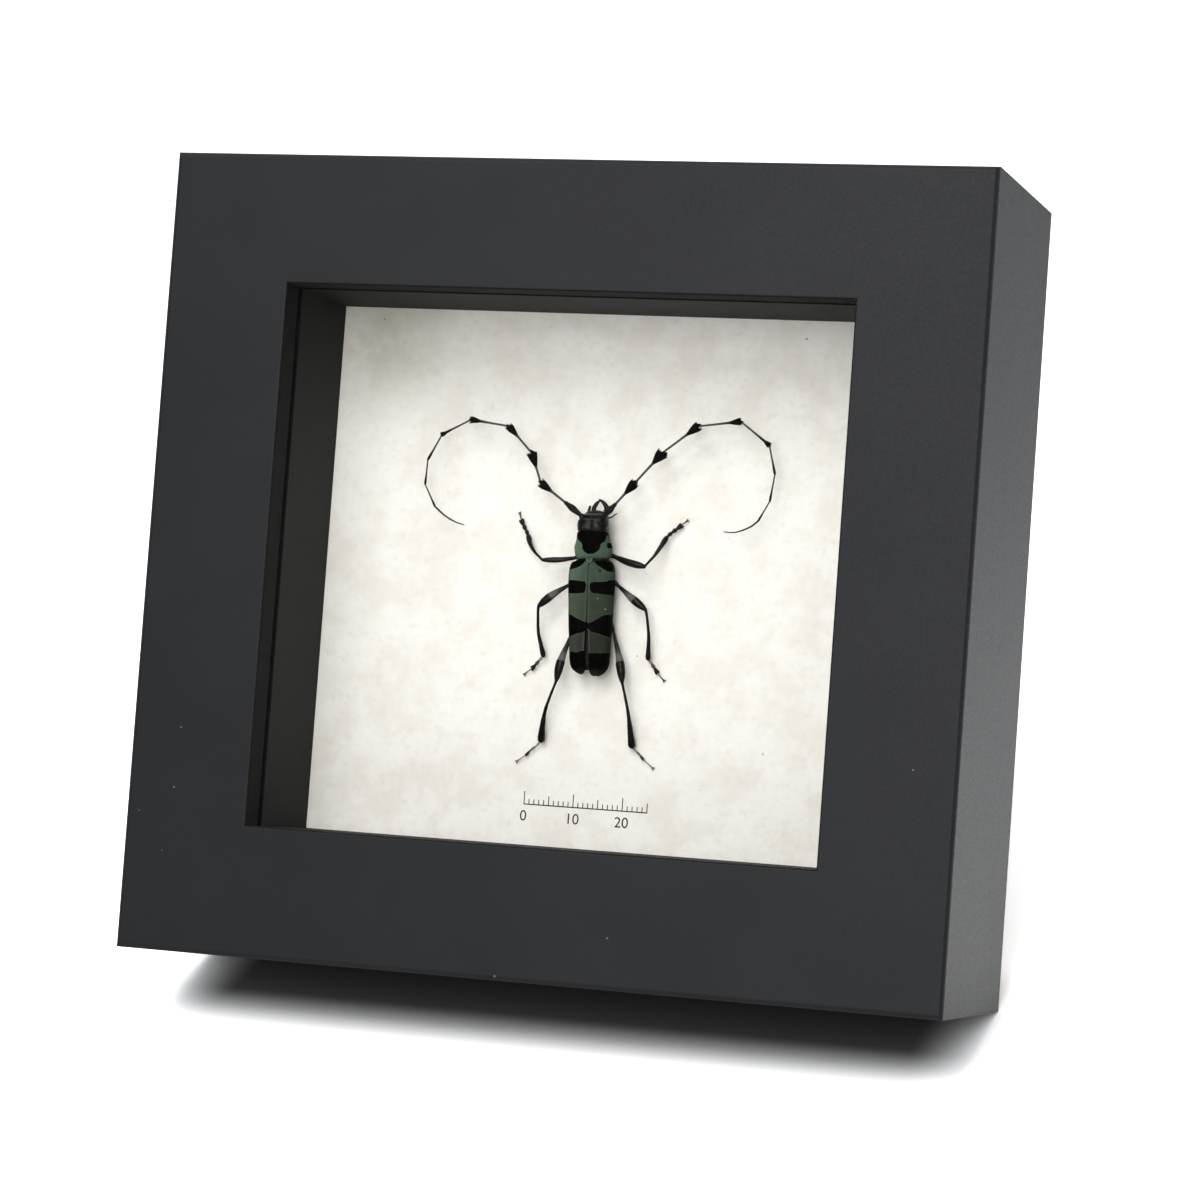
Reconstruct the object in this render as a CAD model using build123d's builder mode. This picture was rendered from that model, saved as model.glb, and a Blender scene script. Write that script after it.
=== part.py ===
from build123d import *
from math import cos, radians, sin
import os

# Case, measured on the case itself, in millimetres
WIDTH = 162
HEIGHT = 154
DEPTH = 50
FACE = 25
LIP = 6
REBATE = 6
OUTER_ARRIS = 1
WINDOW_ARRIS = 0.4
FIT_GAP = 0.2

# Layers behind the lip, from the back
PANEL_THICK = 3
FILLER_THICK = 6
FOAM_THICK = 10
PAPER_THICK = 0.3
GLASS_THICK = 2

# Stance: the case leans back on its strut
LEAN = 22
STRUT_OPENING = 40

# Strut and its hinge
HINGE_UP = 108
PIN_RADIUS = 0.8
PIN_CLEARANCE = 0.05
HINGE_SHEET = 0.8
KNUCKLE_RADIUS = PIN_RADIUS + HINGE_SHEET
PIN_STANDOFF = 1.8
HINGE_WIDTH = 24
CENTRE_KNUCKLE = 8
KNUCKLE_GAP = 0.2
PLATE_RISE = 16
LEAF_DROP = 15
STOP_RISE = 6
STOP_GAP = 0.1
STRUT_THICK = 3
STRUT_TOP_WIDTH = 28
STRUT_FOOT_WIDTH = 38
RIVET_SPREAD = 8
RIVET_RADIUS = 1
RIVET_HEAD_RADIUS = 2
RIVET_HEAD = 0.6

# Turn buttons
BUTTON_X = 67
BUTTON_UPS = (50, 104)
BUTTON_THICK = 1.2
BUTTON_GAP = 0.1
BUTTON_HEEL = 4.5
BUTTON_REACH = 13
BUTTON_HOLE = 1.3
SCREW_RADIUS = 1.2
SCREW_LENGTH = 12
SCREW_HEAD_RADIUS = 2.6
SCREW_HEAD = 1.4
SCREW_SLOT = 0.6

# Sawtooth hanger
HANGER_LENGTH = 42
HANGER_HEIGHT = 9
HANGER_SHEET = 0.8
HANGER_BOW = 1.5
HANGER_FOOT = 7
TOOTH_PITCH = 3
TOOTH_DEPTH = 1.8
TEETH = 7
NAIL_RADIUS = 0.6
NAIL_LENGTH = 12
NAIL_HEAD_RADIUS = 1.6
NAIL_HEAD = 0.5

# Corner nails
V_ARM = 4
V_SHEET = 0.5
V_DEPTH = 10
V_STATIONS = (6, 13)

# Specimen
BEETLE_X = 1.1
BEETLE_TURN = 2.65
WING_BASE = 3.2
WING_SHELL = 0.35
WING_GAP = 0.12
BEETLE_PIN = (1.9, 1.6)
BEETLE_PIN_RADIUS = 0.25
BEETLE_PIN_TOP = 6.35
BEETLE_PIN_DEPTH = 8

# The case's own directions: across, up along the face, and out of the face towards the viewer
ACROSS = Vector(1, 0, 0)
UP = Vector(0, sin(radians(LEAN)), cos(radians(LEAN)))
FRONT = Vector(0, -cos(radians(LEAN)), sin(radians(LEAN)))

# The open strut stands this far from upright, and its front face looks this way
LEG_ANGLE = STRUT_OPENING - LEAN
LEG_FRONT = Vector(0, -cos(radians(LEG_ANGLE)), -sin(radians(LEG_ANGLE)))

# The strut's board lies behind its leaf, and its foot is cut level with the floor
STRUT_NEAR = KNUCKLE_RADIUS - HINGE_SHEET
STRUT_FAR = STRUT_NEAR - STRUT_THICK
pin_from_edge = UP * HINGE_UP - FRONT * PIN_STANDOFF
far_face_top = pin_from_edge + LEG_FRONT * STRUT_FAR
strut_length = far_face_top.Z / cos(radians(LEG_ANGLE))
foot_reach = far_face_top.Y + strut_length * sin(radians(LEG_ANGLE))
front_reach = OUTER_ARRIS - (FRONT * (DEPTH - OUTER_ARRIS) + UP * OUTER_ARRIS).Y
REAR_EDGE = Vector(0, (front_reach - foot_reach) / 2, 0)

# Planes: back of the case, card, beetle, hinge pin and strut
back = Plane(origin=REAR_EDGE, x_dir=ACROSS, z_dir=FRONT)
CARD_LEVEL = PANEL_THICK + FILLER_THICK + FOAM_THICK + PAPER_THICK
GLASS_LEVEL = DEPTH - LIP - GLASS_THICK
card_centre = REAR_EDGE + UP * (HEIGHT / 2) + FRONT * CARD_LEVEL
turn = radians(BEETLE_TURN)
beetle = Plane(
    origin=card_centre + ACROSS * BEETLE_X,
    x_dir=ACROSS * cos(turn) + UP * sin(turn),
    z_dir=FRONT,
)
pin_centre = REAR_EDGE + pin_from_edge
leg = Plane(origin=pin_centre, x_dir=ACROSS, z_dir=LEG_FRONT)
pin_cross_section = Plane(origin=pin_centre, x_dir=UP, z_dir=ACROSS)

os.makedirs("parts", exist_ok=True)


def save(part, name):
    part.label = name
    export_step(part, f"parts/{name}.step")


def at(a, b, h):
    """Point over the card: a across the beetle, b towards its head, h above the paper."""
    return beetle.from_local_coords(Vector(a, b, h))


# V nails


def v_nail_outline(sign_x, sign_up):
    """Sketch outlines of one corner's nails, on the back of the case."""
    corner_x = sign_x * WIDTH / 2
    corner_up = HEIGHT / 2 + sign_up * HEIGHT / 2
    mitre_angle = 45 if sign_x * sign_up > 0 else -45
    heading = mitre_angle + (180 if sign_x > 0 else 0)
    for station in V_STATIONS:
        with Locations((corner_x - sign_x * station, corner_up - sign_up * station)):
            for arm in (-1, 1):
                with Locations(Location((0, 0, 0), (0, 0, heading + 60 * arm))):
                    Rectangle(V_ARM, V_SHEET, align=(Align.MIN, Align.CENTER))


CORNERS = [(sign_x, sign_up) for sign_x in (-1, 1) for sign_up in (-1, 1)]

with BuildPart() as corner_v_nails:
    for corner in CORNERS:
        with BuildSketch(back):
            v_nail_outline(*corner)
        extrude(amount=V_DEPTH)
save(corner_v_nails.part, "corner_v_nails")

# Fasteners that go into the rails

with BuildPart() as turn_button_screws:
    head_level = -(BUTTON_GAP + BUTTON_THICK + BUTTON_GAP)
    seats = [(side * BUTTON_X, up) for side in (-1, 1) for up in BUTTON_UPS]
    with BuildSketch(back.offset(head_level)):
        with Locations(*seats):
            Circle(SCREW_RADIUS)
    extrude(amount=SCREW_LENGTH)
    with BuildSketch(back.offset(head_level)):
        with Locations(*seats):
            Circle(SCREW_HEAD_RADIUS)
    extrude(amount=-SCREW_HEAD, taper=20)
    with BuildSketch(back.offset(head_level - SCREW_HEAD)):
        with Locations(*seats):
            Rectangle(2 * SCREW_HEAD_RADIUS, SCREW_SLOT)
    extrude(amount=SCREW_HEAD / 2, mode=Mode.SUBTRACT)
save(turn_button_screws.part, "turn_button_screws")

HANGER_UP = HEIGHT - (FACE - REBATE) / 2
nail_seats = [(side * (HANGER_LENGTH / 2 - HANGER_FOOT / 2), HANGER_UP) for side in (-1, 1)]

with BuildPart() as hanger_nails:
    with BuildSketch(back.offset(-HANGER_SHEET)):
        with Locations(*nail_seats):
            Circle(NAIL_RADIUS)
    extrude(amount=NAIL_LENGTH)
    with BuildSketch(back.offset(-HANGER_SHEET)):
        with Locations(*nail_seats):
            Circle(NAIL_HEAD_RADIUS)
    extrude(amount=-NAIL_HEAD)
save(hanger_nails.part, "hanger_nails")

# Rails, each drawn from its outer face inwards and from its back forwards

WALL = FACE - REBATE
rails = [
    ("bottom_rail", ACROSS, UP, WIDTH, UP * 0),
    ("right_stile", UP, ACROSS * -1, HEIGHT, ACROSS * (WIDTH / 2) + UP * (HEIGHT / 2)),
    ("top_rail", ACROSS * -1, UP * -1, WIDTH, UP * HEIGHT),
    ("left_stile", UP * -1, ACROSS, HEIGHT, ACROSS * (-WIDTH / 2) + UP * (HEIGHT / 2)),
]
for rail_name, along, inward, length, centre in rails:
    outer_edge = REAR_EDGE + centre
    with BuildPart() as rail:
        with BuildSketch(Plane(origin=outer_edge, x_dir=inward, z_dir=along)):
            with BuildLine():
                Polyline(
                    (0, DEPTH - OUTER_ARRIS),
                    (0, 0),
                    (WALL, 0),
                    (WALL, DEPTH - LIP),
                    (FACE, DEPTH - LIP),
                    (FACE, DEPTH - WINDOW_ARRIS),
                )
                CenterArc((FACE - WINDOW_ARRIS, DEPTH - WINDOW_ARRIS), WINDOW_ARRIS, 0, 90)
                Line((FACE - WINDOW_ARRIS, DEPTH), (OUTER_ARRIS, DEPTH))
                CenterArc((OUTER_ARRIS, DEPTH - OUTER_ARRIS), OUTER_ARRIS, 90, 90)
            make_face()
        extrude(amount=length / 2, both=True)
        for end in (-1, 1):
            tip = outer_edge + along * (end * length / 2)
            split(bisect_by=Plane(origin=tip, z_dir=along * end + inward), keep=Keep.BOTTOM)
        add(corner_v_nails.part, mode=Mode.SUBTRACT)
        add(turn_button_screws.part, mode=Mode.SUBTRACT)
        add(hanger_nails.part, mode=Mode.SUBTRACT)
    save(rail.part, rail_name)

# Layers in the rebate, and what pierces them

INNER_WIDTH = WIDTH - 2 * WALL - 2 * FIT_GAP
INNER_HEIGHT = HEIGHT - 2 * WALL - 2 * FIT_GAP
middle = Plane(origin=REAR_EDGE + UP * (HEIGHT / 2), x_dir=ACROSS, z_dir=FRONT)

with BuildPart() as hinge_plate_rivets:
    rivet_seats = [(side * RIVET_SPREAD, HINGE_UP + PLATE_RISE / 2 + 1) for side in (-1, 1)]
    with BuildSketch(back.offset(-HINGE_SHEET)):
        with Locations(*rivet_seats):
            Circle(RIVET_RADIUS)
    extrude(amount=HINGE_SHEET + PANEL_THICK)
    with BuildSketch(back.offset(-HINGE_SHEET)):
        with Locations(*rivet_seats):
            Circle(RIVET_HEAD_RADIUS)
    extrude(amount=-RIVET_HEAD, taper=25)
save(hinge_plate_rivets.part, "hinge_plate_rivets")

with BuildPart() as specimen_pin:
    with BuildSketch(beetle.offset(-BEETLE_PIN_DEPTH)):
        with Locations(BEETLE_PIN):
            Circle(BEETLE_PIN_RADIUS)
    extrude(amount=BEETLE_PIN_DEPTH + BEETLE_PIN_TOP)
save(specimen_pin.part, "specimen_pin")

FOAM_LEVEL = PANEL_THICK + FILLER_THICK
layers = [
    ("back_panel", 0, PANEL_THICK, hinge_plate_rivets),
    ("filler_board", PANEL_THICK, FILLER_THICK, None),
    ("pinning_foam", FOAM_LEVEL, FOAM_THICK, specimen_pin),
    ("backing_paper", FOAM_LEVEL + FOAM_THICK, PAPER_THICK, specimen_pin),
    ("glass_pane", GLASS_LEVEL, GLASS_THICK, None),
]
for layer_name, level, thickness, pierced_by in layers:
    with BuildPart() as layer:
        with BuildSketch(middle.offset(level)):
            Rectangle(INNER_WIDTH, INNER_HEIGHT)
        extrude(amount=thickness)
        if pierced_by:
            add(pierced_by.part, mode=Mode.SUBTRACT)
    save(layer.part, layer_name)

# Spacers: top and bottom run the full width, the side ones stand between them

SPACER_THICK = REBATE - FIT_GAP
spacer_edge_x = INNER_WIDTH / 2
spacer_edge_up = INNER_HEIGHT / 2
spacers = [
    ("top_spacer", INNER_WIDTH, SPACER_THICK, 0, spacer_edge_up - SPACER_THICK / 2),
    ("bottom_spacer", INNER_WIDTH, SPACER_THICK, 0, SPACER_THICK / 2 - spacer_edge_up),
    ("left_spacer", SPACER_THICK, INNER_HEIGHT - 2 * SPACER_THICK, SPACER_THICK / 2 - spacer_edge_x, 0),
    ("right_spacer", SPACER_THICK, INNER_HEIGHT - 2 * SPACER_THICK, spacer_edge_x - SPACER_THICK / 2, 0),
]
for spacer_name, wide, tall, x, up in spacers:
    with BuildPart() as spacer:
        with BuildSketch(middle.offset(CARD_LEVEL)):
            with Locations((x, up)):
                Rectangle(wide, tall)
        extrude(amount=GLASS_LEVEL - CARD_LEVEL)
    save(spacer.part, spacer_name)

# Turn buttons: pear-shaped plates, heel over the rail and tip over the panel

for side, side_name in ((-1, "left"), (1, "right")):
    for up, height_name in zip(BUTTON_UPS, ("low", "high")):
        pivot = back.from_local_coords(Vector(side * BUTTON_X, up, -BUTTON_GAP))
        with BuildPart() as turn_button:
            with BuildSketch(Plane(origin=pivot, x_dir=ACROSS * -side, z_dir=FRONT * -1)):
                with BuildLine():
                    heel = CenterArc((0, 0), BUTTON_HEEL, 90, 180)
                    tip = CenterArc((BUTTON_REACH - 2.5, 0), 2.5, -90, 180)
                    Line(heel @ 0, tip @ 1)
                    Line(heel @ 1, tip @ 0)
                make_face()
                Circle(BUTTON_HOLE, mode=Mode.SUBTRACT)
            extrude(amount=BUTTON_THICK)
            fillet(turn_button.edges().filter_by(GeomType.LINE).group_by(Axis.Y)[-1], 0.3)
        save(turn_button.part, f"turn_button_{side_name}_{height_name}")

# Sawtooth hanger: a bowed strip with teeth along its lower edge

with BuildPart() as sawtooth_hanger:
    strip = Plane(origin=back.from_local_coords(Vector(0, HANGER_UP, 0)), x_dir=ACROSS, z_dir=UP)
    foot_end = HANGER_LENGTH / 2
    foot_start = foot_end - HANGER_FOOT
    bow_start = foot_start - 2 * HANGER_BOW
    with BuildSketch(strip):
        with BuildLine():
            outer = Polyline(
                (-foot_end, HANGER_SHEET),
                (-foot_start, HANGER_SHEET),
                (-bow_start, HANGER_SHEET + HANGER_BOW),
                (bow_start, HANGER_SHEET + HANGER_BOW),
                (foot_start, HANGER_SHEET),
                (foot_end, HANGER_SHEET),
            )
            inner = Polyline(
                (foot_end, 0),
                (foot_start, 0),
                (bow_start, HANGER_BOW),
                (-bow_start, HANGER_BOW),
                (-foot_start, 0),
                (-foot_end, 0),
            )
            Line(outer @ 1, inner @ 0)
            Line(inner @ 1, outer @ 0)
        make_face()
    extrude(amount=HANGER_HEIGHT / 2, both=True)
    with BuildSketch(back):
        with Locations((0, HANGER_UP - HANGER_HEIGHT / 2)):
            with GridLocations(TOOTH_PITCH, 1, TEETH, 1):
                with BuildLine():
                    Polyline((-TOOTH_PITCH / 2, 0), (0, TOOTH_DEPTH), (TOOTH_PITCH / 2, 0), close=True)
                make_face()
    extrude(amount=-(HANGER_BOW + 2 * HANGER_SHEET), mode=Mode.SUBTRACT)
    add(hanger_nails.part, mode=Mode.SUBTRACT)
save(sawtooth_hanger.part, "sawtooth_hanger")

# Strut hinge: plate on the panel, pin, leaf on the strut

half_hinge = HINGE_WIDTH / 2
half_centre = CENTRE_KNUCKLE / 2
SWING = KNUCKLE_RADIUS + 0.6

with BuildPart() as strut_hinge_pin:
    with BuildSketch(pin_cross_section):
        Circle(PIN_RADIUS)
    extrude(amount=half_hinge, both=True)
save(strut_hinge_pin.part, "strut_hinge_pin")

with BuildPart() as strut_hinge_plate:
    with BuildSketch(back):
        with Locations((0, HINGE_UP)):
            Rectangle(HINGE_WIDTH, PLATE_RISE, align=(Align.CENTER, Align.MIN))
            Rectangle(
                CENTRE_KNUCKLE + 2 * KNUCKLE_GAP, SWING, align=(Align.CENTER, Align.MIN), mode=Mode.SUBTRACT
            )
    extrude(amount=-HINGE_SHEET)
    for side in (-1, 1):
        with BuildSketch(pin_cross_section.offset(side * (half_centre + KNUCKLE_GAP))):
            Circle(KNUCKLE_RADIUS)
        extrude(amount=side * (half_hinge - half_centre - KNUCKLE_GAP))
    add(strut_hinge_pin.part, mode=Mode.SUBTRACT)
    add(hinge_plate_rivets.part, mode=Mode.SUBTRACT)
save(strut_hinge_plate.part, "strut_hinge_plate")

leaf_rivet_seats = [(side * RIVET_SPREAD, -(SWING + 6)) for side in (-1, 1)]

with BuildPart() as strut_leaf_rivets:
    with BuildSketch(leg.offset(STRUT_FAR)):
        with Locations(*leaf_rivet_seats):
            Circle(RIVET_RADIUS)
    extrude(amount=STRUT_THICK + HINGE_SHEET)
    with BuildSketch(leg.offset(STRUT_FAR)):
        with Locations(*leaf_rivet_seats):
            Circle(RIVET_HEAD_RADIUS)
    extrude(amount=-RIVET_HEAD, taper=25)
save(strut_leaf_rivets.part, "strut_leaf_rivets")

with BuildPart() as strut_hinge_leaf:
    with BuildSketch(leg.offset(STRUT_NEAR)):
        with Locations((0, -SWING)):
            Rectangle(HINGE_WIDTH, LEAF_DROP - SWING, align=(Align.CENTER, Align.MAX))
        Rectangle(CENTRE_KNUCKLE, SWING, align=(Align.CENTER, Align.MAX))
    extrude(amount=HINGE_SHEET)
    with BuildSketch(pin_cross_section):
        Circle(KNUCKLE_RADIUS)
    extrude(amount=half_centre, both=True)
    with BuildSketch(back.offset(-HINGE_SHEET - STOP_GAP)):
        with Locations((0, HINGE_UP)):
            Rectangle(CENTRE_KNUCKLE, STOP_RISE, align=(Align.CENTER, Align.MIN))
    extrude(amount=-HINGE_SHEET)
    with BuildSketch(pin_cross_section):
        Circle(PIN_RADIUS + PIN_CLEARANCE)
    extrude(amount=half_hinge, both=True, mode=Mode.SUBTRACT)
    add(strut_leaf_rivets.part, mode=Mode.SUBTRACT)
save(strut_hinge_leaf.part, "strut_hinge_leaf")

with BuildPart() as easel_strut:
    with BuildSketch(leg.offset(STRUT_NEAR)) as outline:
        with BuildLine():
            Polyline(
                (-STRUT_TOP_WIDTH / 2, -SWING),
                (STRUT_TOP_WIDTH / 2, -SWING),
                (STRUT_FOOT_WIDTH / 2, -strut_length - STRUT_THICK),
                (-STRUT_FOOT_WIDTH / 2, -strut_length - STRUT_THICK),
                close=True,
            )
        make_face()
        fillet(outline.vertices().sort_by(Axis.Y)[-2:], 4)
    extrude(amount=-STRUT_THICK)
    split(bisect_by=Plane.XY, keep=Keep.TOP)
    add(strut_leaf_rivets.part, mode=Mode.SUBTRACT)
save(easel_strut.part, "easel_strut")

# Beetle: outer shapes that the finished surfaces follow


def across_body(b):
    """Plane square to the beetle's length, with a across and h above the paper."""
    return Plane(origin=at(0, b, 0), x_dir=beetle.x_dir, z_dir=beetle.y_dir * -1)


def ovals(stations):
    """Upright oval sections: (b, a, h, half width, half height)."""
    sections = []
    for b, a, h, half_width, half_height in stations:
        with BuildSketch(across_body(b)) as section:
            with Locations((a, h)):
                Ellipse(half_width, half_height)
        sections.append(section.sketch)
    return sections


def arches(stations, inset):
    """Arched sections on the wing base: (b, half width, rise), drawn in by the inset."""
    sections = []
    for b, half_width, rise in stations:
        with BuildSketch(across_body(b)) as section:
            with BuildLine():
                EllipticalCenterArc((0, WING_BASE), half_width - inset, rise - inset, 0, arc_size=180)
                Line((inset - half_width, WING_BASE), (half_width - inset, WING_BASE))
            make_face()
        sections.append(section.sketch)
    return sections


def rounds(stations):
    """Round sections of a limb: (a, b, h, radius), each square to the bend there."""
    points = [at(a, b, h) for a, b, h, radius in stations]
    steps = [(end - start).normalized() for start, end in zip(points, points[1:])]
    headings = [before + after for before, after in zip([steps[0]] + steps, steps + [steps[-1]])]
    sections = []
    for point, heading, station in zip(points, headings, stations):
        with BuildSketch(Plane(origin=point, z_dir=heading)) as section:
            Circle(station[3])
        sections.append(section.sketch)
    return sections


BODY = [
    (3.4, 0, 3.9, 3.2, 1.7),
    (1.5, 0, 3.4, 4.2, 1.9),
    (-6, 0, 3.3, 4.05, 1.8),
    (-13, 0, 3.2, 3.7, 1.6),
    (-17, 0, 3.3, 2.2, 0.9),
]
with BuildPart() as thorax_and_abdomen:
    loft(ovals(BODY))
save(thorax_and_abdomen.part, "thorax_and_abdomen")

WING = [
    (3.8, 3.9, 3.4),
    (2.6, 4.6, 4.0),
    (-3, 4.5, 4.2),
    (-9, 4.35, 4.1),
    (-14, 4.15, 3.7),
    (-17, 3.5, 2.9),
    (-18.4, 2.4, 2.0),
]
for side, wing_name in ((-1, "left_elytron"), (1, "right_elytron")):
    with BuildPart() as wing:
        loft(arches(WING, 0))
        loft(arches(WING, WING_SHELL), mode=Mode.SUBTRACT)
        suture = Plane(origin=at(side * WING_GAP / 2, 0, 0), z_dir=beetle.x_dir * side)
        split(bisect_by=suture, keep=Keep.TOP)
    save(wing.part, wing_name)

PRONOTUM = [
    (9.0, 0.1, 5.1, 3.4, 2.3),
    (8.0, 0.1, 5.1, 3.8, 2.5),
    (6.4, 0.1, 5.0, 4.3, 2.7),
    (4.9, 0, 4.9, 3.9, 2.5),
    (4.2, 0, 4.9, 3.6, 2.3),
]
with BuildPart() as pronotum:
    loft(ovals(PRONOTUM))
save(pronotum.part, "pronotum")

HEAD = [
    (8.9, 0.1, 5.0, 3.0, 2.0),
    (10.4, 0.2, 4.9, 3.1, 2.1),
    (12.0, 0.3, 4.5, 2.6, 1.8),
    (13.2, 0.5, 3.9, 2.1, 1.2),
]
with BuildPart() as head:
    loft(ovals(HEAD))
save(head.part, "head")

with BuildPart() as eyes:
    for side in (-1, 1):
        eye_axis = beetle.x_dir * side
        with Locations(Plane(origin=at(0.2 + side * 2.4, 10.7, 5.0), x_dir=beetle.y_dir, z_dir=eye_axis)):
            Sphere(1.05)
save(eyes.part, "eyes")

with BuildPart() as scutellum:
    with BuildSketch(beetle.offset(WING_BASE + 3.5)):
        with BuildLine():
            shield_top = Line((-0.7, 4.1), (0.7, 4.1))
            ThreePointArc(shield_top @ 0, (0, 2.6), shield_top @ 1)
        make_face()
    extrude(amount=0.9)
save(scutellum.part, "scutellum")

MANDIBLES = {
    "left_mandible": [
        (-0.9, 12.9, 3.3, 0.65),
        (-0.9, 14.0, 3.1, 0.5),
        (-0.2, 15.1, 3.0, 0.32),
        (0.5, 15.6, 3.0, 0.12),
    ],
    "right_mandible": [
        (1.9, 12.9, 3.3, 0.65),
        (2.3, 14.0, 3.1, 0.5),
        (1.7, 15.2, 3.0, 0.32),
        (0.75, 15.7, 3.3, 0.12),
    ],
}
for mandible_name, stations in MANDIBLES.items():
    with BuildPart() as mandible:
        loft(rounds(stations), ruled=True)
    save(mandible.part, mandible_name)

PALPS = [
    [(-1.8, 12.4, 2.9, 0.3), (-2.5, 13.4, 2.7, 0.24), (-2.4, 14.5, 2.5, 0.2)],
    [(2.3, 12.0, 2.9, 0.3), (3.5, 12.0, 2.7, 0.24), (4.7, 12.6, 2.5, 0.2)],
]
with BuildPart() as palps:
    for stations in PALPS:
        loft(rounds(stations), ruled=True)
save(palps.part, "palps")

# Antennae: eleven joints, the first long ones ending in black tufts

LEFT_JOINTS = [
    (-5.0, 14.4, 5.5),
    (-10.4, 18.5, 6.0),
    (-12.4, 24.3, 6.0),
    (-17.3, 29.6, 6.0),
    (-25.3, 31.0, 5.5),
    (-31.4, 28.2, 5.0),
    (-34.4, 23.3, 4.5),
    (-35.0, 18.5, 4.0),
    (-33.0, 14.2, 3.5),
    (-29.6, 11.6, 3.0),
    (-27.2, 10.7, 2.5),
]
RIGHT_JOINTS = [
    (4.3, 13.8, 5.5),
    (8.6, 18.4, 6.0),
    (14.1, 24.3, 6.0),
    (21.0, 29.3, 6.0),
    (29.3, 30.2, 5.5),
    (34.9, 25.7, 5.0),
    (36.0, 20.2, 4.5),
    (35.0, 15.1, 4.0),
    (32.7, 11.4, 3.5),
    (30.2, 10.0, 3.0),
    (27.6, 9.3, 2.5),
    (25.5, 9.4, 2.0),
]
TUFT_RADII = (0, 0.85, 0.95, 0.75, 0.6)
STALK_START = 0.34
STALK_END = 0.14
TUFT_LENGTH = 2.0


def antenna(socket, joints):
    """Stations of an antenna from its socket through the joints, with the tufts before their joints."""
    stations = [(*socket, 0.55)]
    for index, joint in enumerate(joints):
        previous = Vector(*(joints[index - 1] if index else socket))
        here = Vector(*joint)
        stalk = STALK_START + (STALK_END - STALK_START) * index / (len(joints) - 1)
        tuft = TUFT_RADII[index] if index < len(TUFT_RADII) else 0
        if index == 0:
            bulge = (previous + here) * 0.5
            stations.append((bulge.X, bulge.Y, bulge.Z, 0.7))
        elif tuft:
            back_step = (previous - here).normalized()
            tuft_start = here + back_step * TUFT_LENGTH
            tuft_end = here + back_step * 0.35
            stations.append((tuft_start.X, tuft_start.Y, tuft_start.Z, stalk))
            stations.append((tuft_end.X, tuft_end.Y, tuft_end.Z, tuft))
        stations.append((*joint, stalk))
    return stations


ANTENNAE = {
    "left_antenna": ((-1.9, 12.2, 5.0), LEFT_JOINTS),
    "right_antenna": ((2.4, 12.2, 5.0), RIGHT_JOINTS),
}
for antenna_name, (socket, joints) in ANTENNAE.items():
    with BuildPart() as feeler:
        loft(rounds(antenna(socket, joints)), ruled=True)
    save(feeler.part, antenna_name)

# Legs: hip, thigh, knee, shin and foot joints

LEGS = {
    "left_front_leg": [
        (-2.2, 5.2, 3.3, 0.5),
        (-4.8, 4.1, 2.5, 0.6),
        (-7.0, 3.8, 3.4, 0.65),
        (-10.2, 3.6, 4.0, 0.5),
        (-12.6, 6.0, 3.0, 0.4),
        (-14.2, 8.6, 1.6, 0.55),
        (-15.4, 11.0, 0.9, 0.6),
        (-16.3, 13.1, 0.6, 0.25),
    ],
    "right_front_leg": [
        (2.2, 5.2, 3.3, 0.5),
        (4.8, 4.2, 2.5, 0.6),
        (7.2, 3.3, 3.6, 0.8),
        (9.9, 2.2, 4.0, 0.5),
        (12.2, 4.7, 3.0, 0.4),
        (14.2, 8.5, 1.6, 0.55),
        (16.0, 10.2, 0.9, 0.6),
        (17.7, 11.4, 0.6, 0.25),
    ],
    "left_middle_leg": [
        (-3.2, 0.1, 2.3, 0.5),
        (-5.0, -0.9, 2.5, 0.55),
        (-8.4, -3.3, 3.8, 0.85),
        (-10.8, -5.4, 4.0, 0.5),
        (-10.9, -9.2, 3.0, 0.38),
        (-10.3, -14.3, 1.5, 0.55),
        (-12.6, -16.8, 0.8, 0.35),
        (-14.4, -18.7, 0.5, 0.3),
    ],
    "right_middle_leg": [
        (3.2, 0.1, 2.3, 0.5),
        (4.8, -1.1, 2.5, 0.55),
        (7.6, -3.5, 3.8, 0.85),
        (10.9, -5.8, 4.0, 0.5),
        (11.3, -9.1, 3.0, 0.38),
        (10.9, -14.9, 1.5, 0.55),
        (12.2, -16.8, 0.8, 0.35),
        (14.1, -19.4, 0.5, 0.3),
    ],
    "left_hind_leg": [
        (-3.2, -7.0, 2.2, 0.5),
        (-4.9, -11.0, 2.5, 0.6),
        (-6.0, -17.0, 4.0, 0.95),
        (-6.7, -19.6, 4.0, 0.5),
        (-8.6, -24.7, 3.0, 0.4),
        (-10.2, -30.0, 1.6, 0.85),
        (-10.5, -31.2, 1.2, 0.7),
        (-12.6, -33.2, 0.8, 0.3),
        (-15.6, -35.3, 0.5, 0.25),
    ],
    "right_hind_leg": [
        (3.2, -7.0, 2.2, 0.5),
        (4.7, -10.6, 2.5, 0.6),
        (6.0, -17.0, 4.0, 0.9),
        (6.6, -19.8, 4.0, 0.5),
        (7.7, -25.4, 3.0, 0.4),
        (8.2, -30.6, 1.6, 0.75),
        (8.3, -31.8, 1.2, 0.6),
        (10.4, -34.3, 0.8, 0.3),
        (12.5, -36.1, 0.5, 0.25),
    ],
}
for leg_name, stations in LEGS.items():
    with BuildPart() as leg_part:
        loft(rounds(stations), ruled=True)
    save(leg_part.part, leg_name)
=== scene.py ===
import random
from math import cos, exp, inf, pi, radians, sin, sqrt

import bmesh
import bpy
from mathutils import Matrix, Vector, noise


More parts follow.
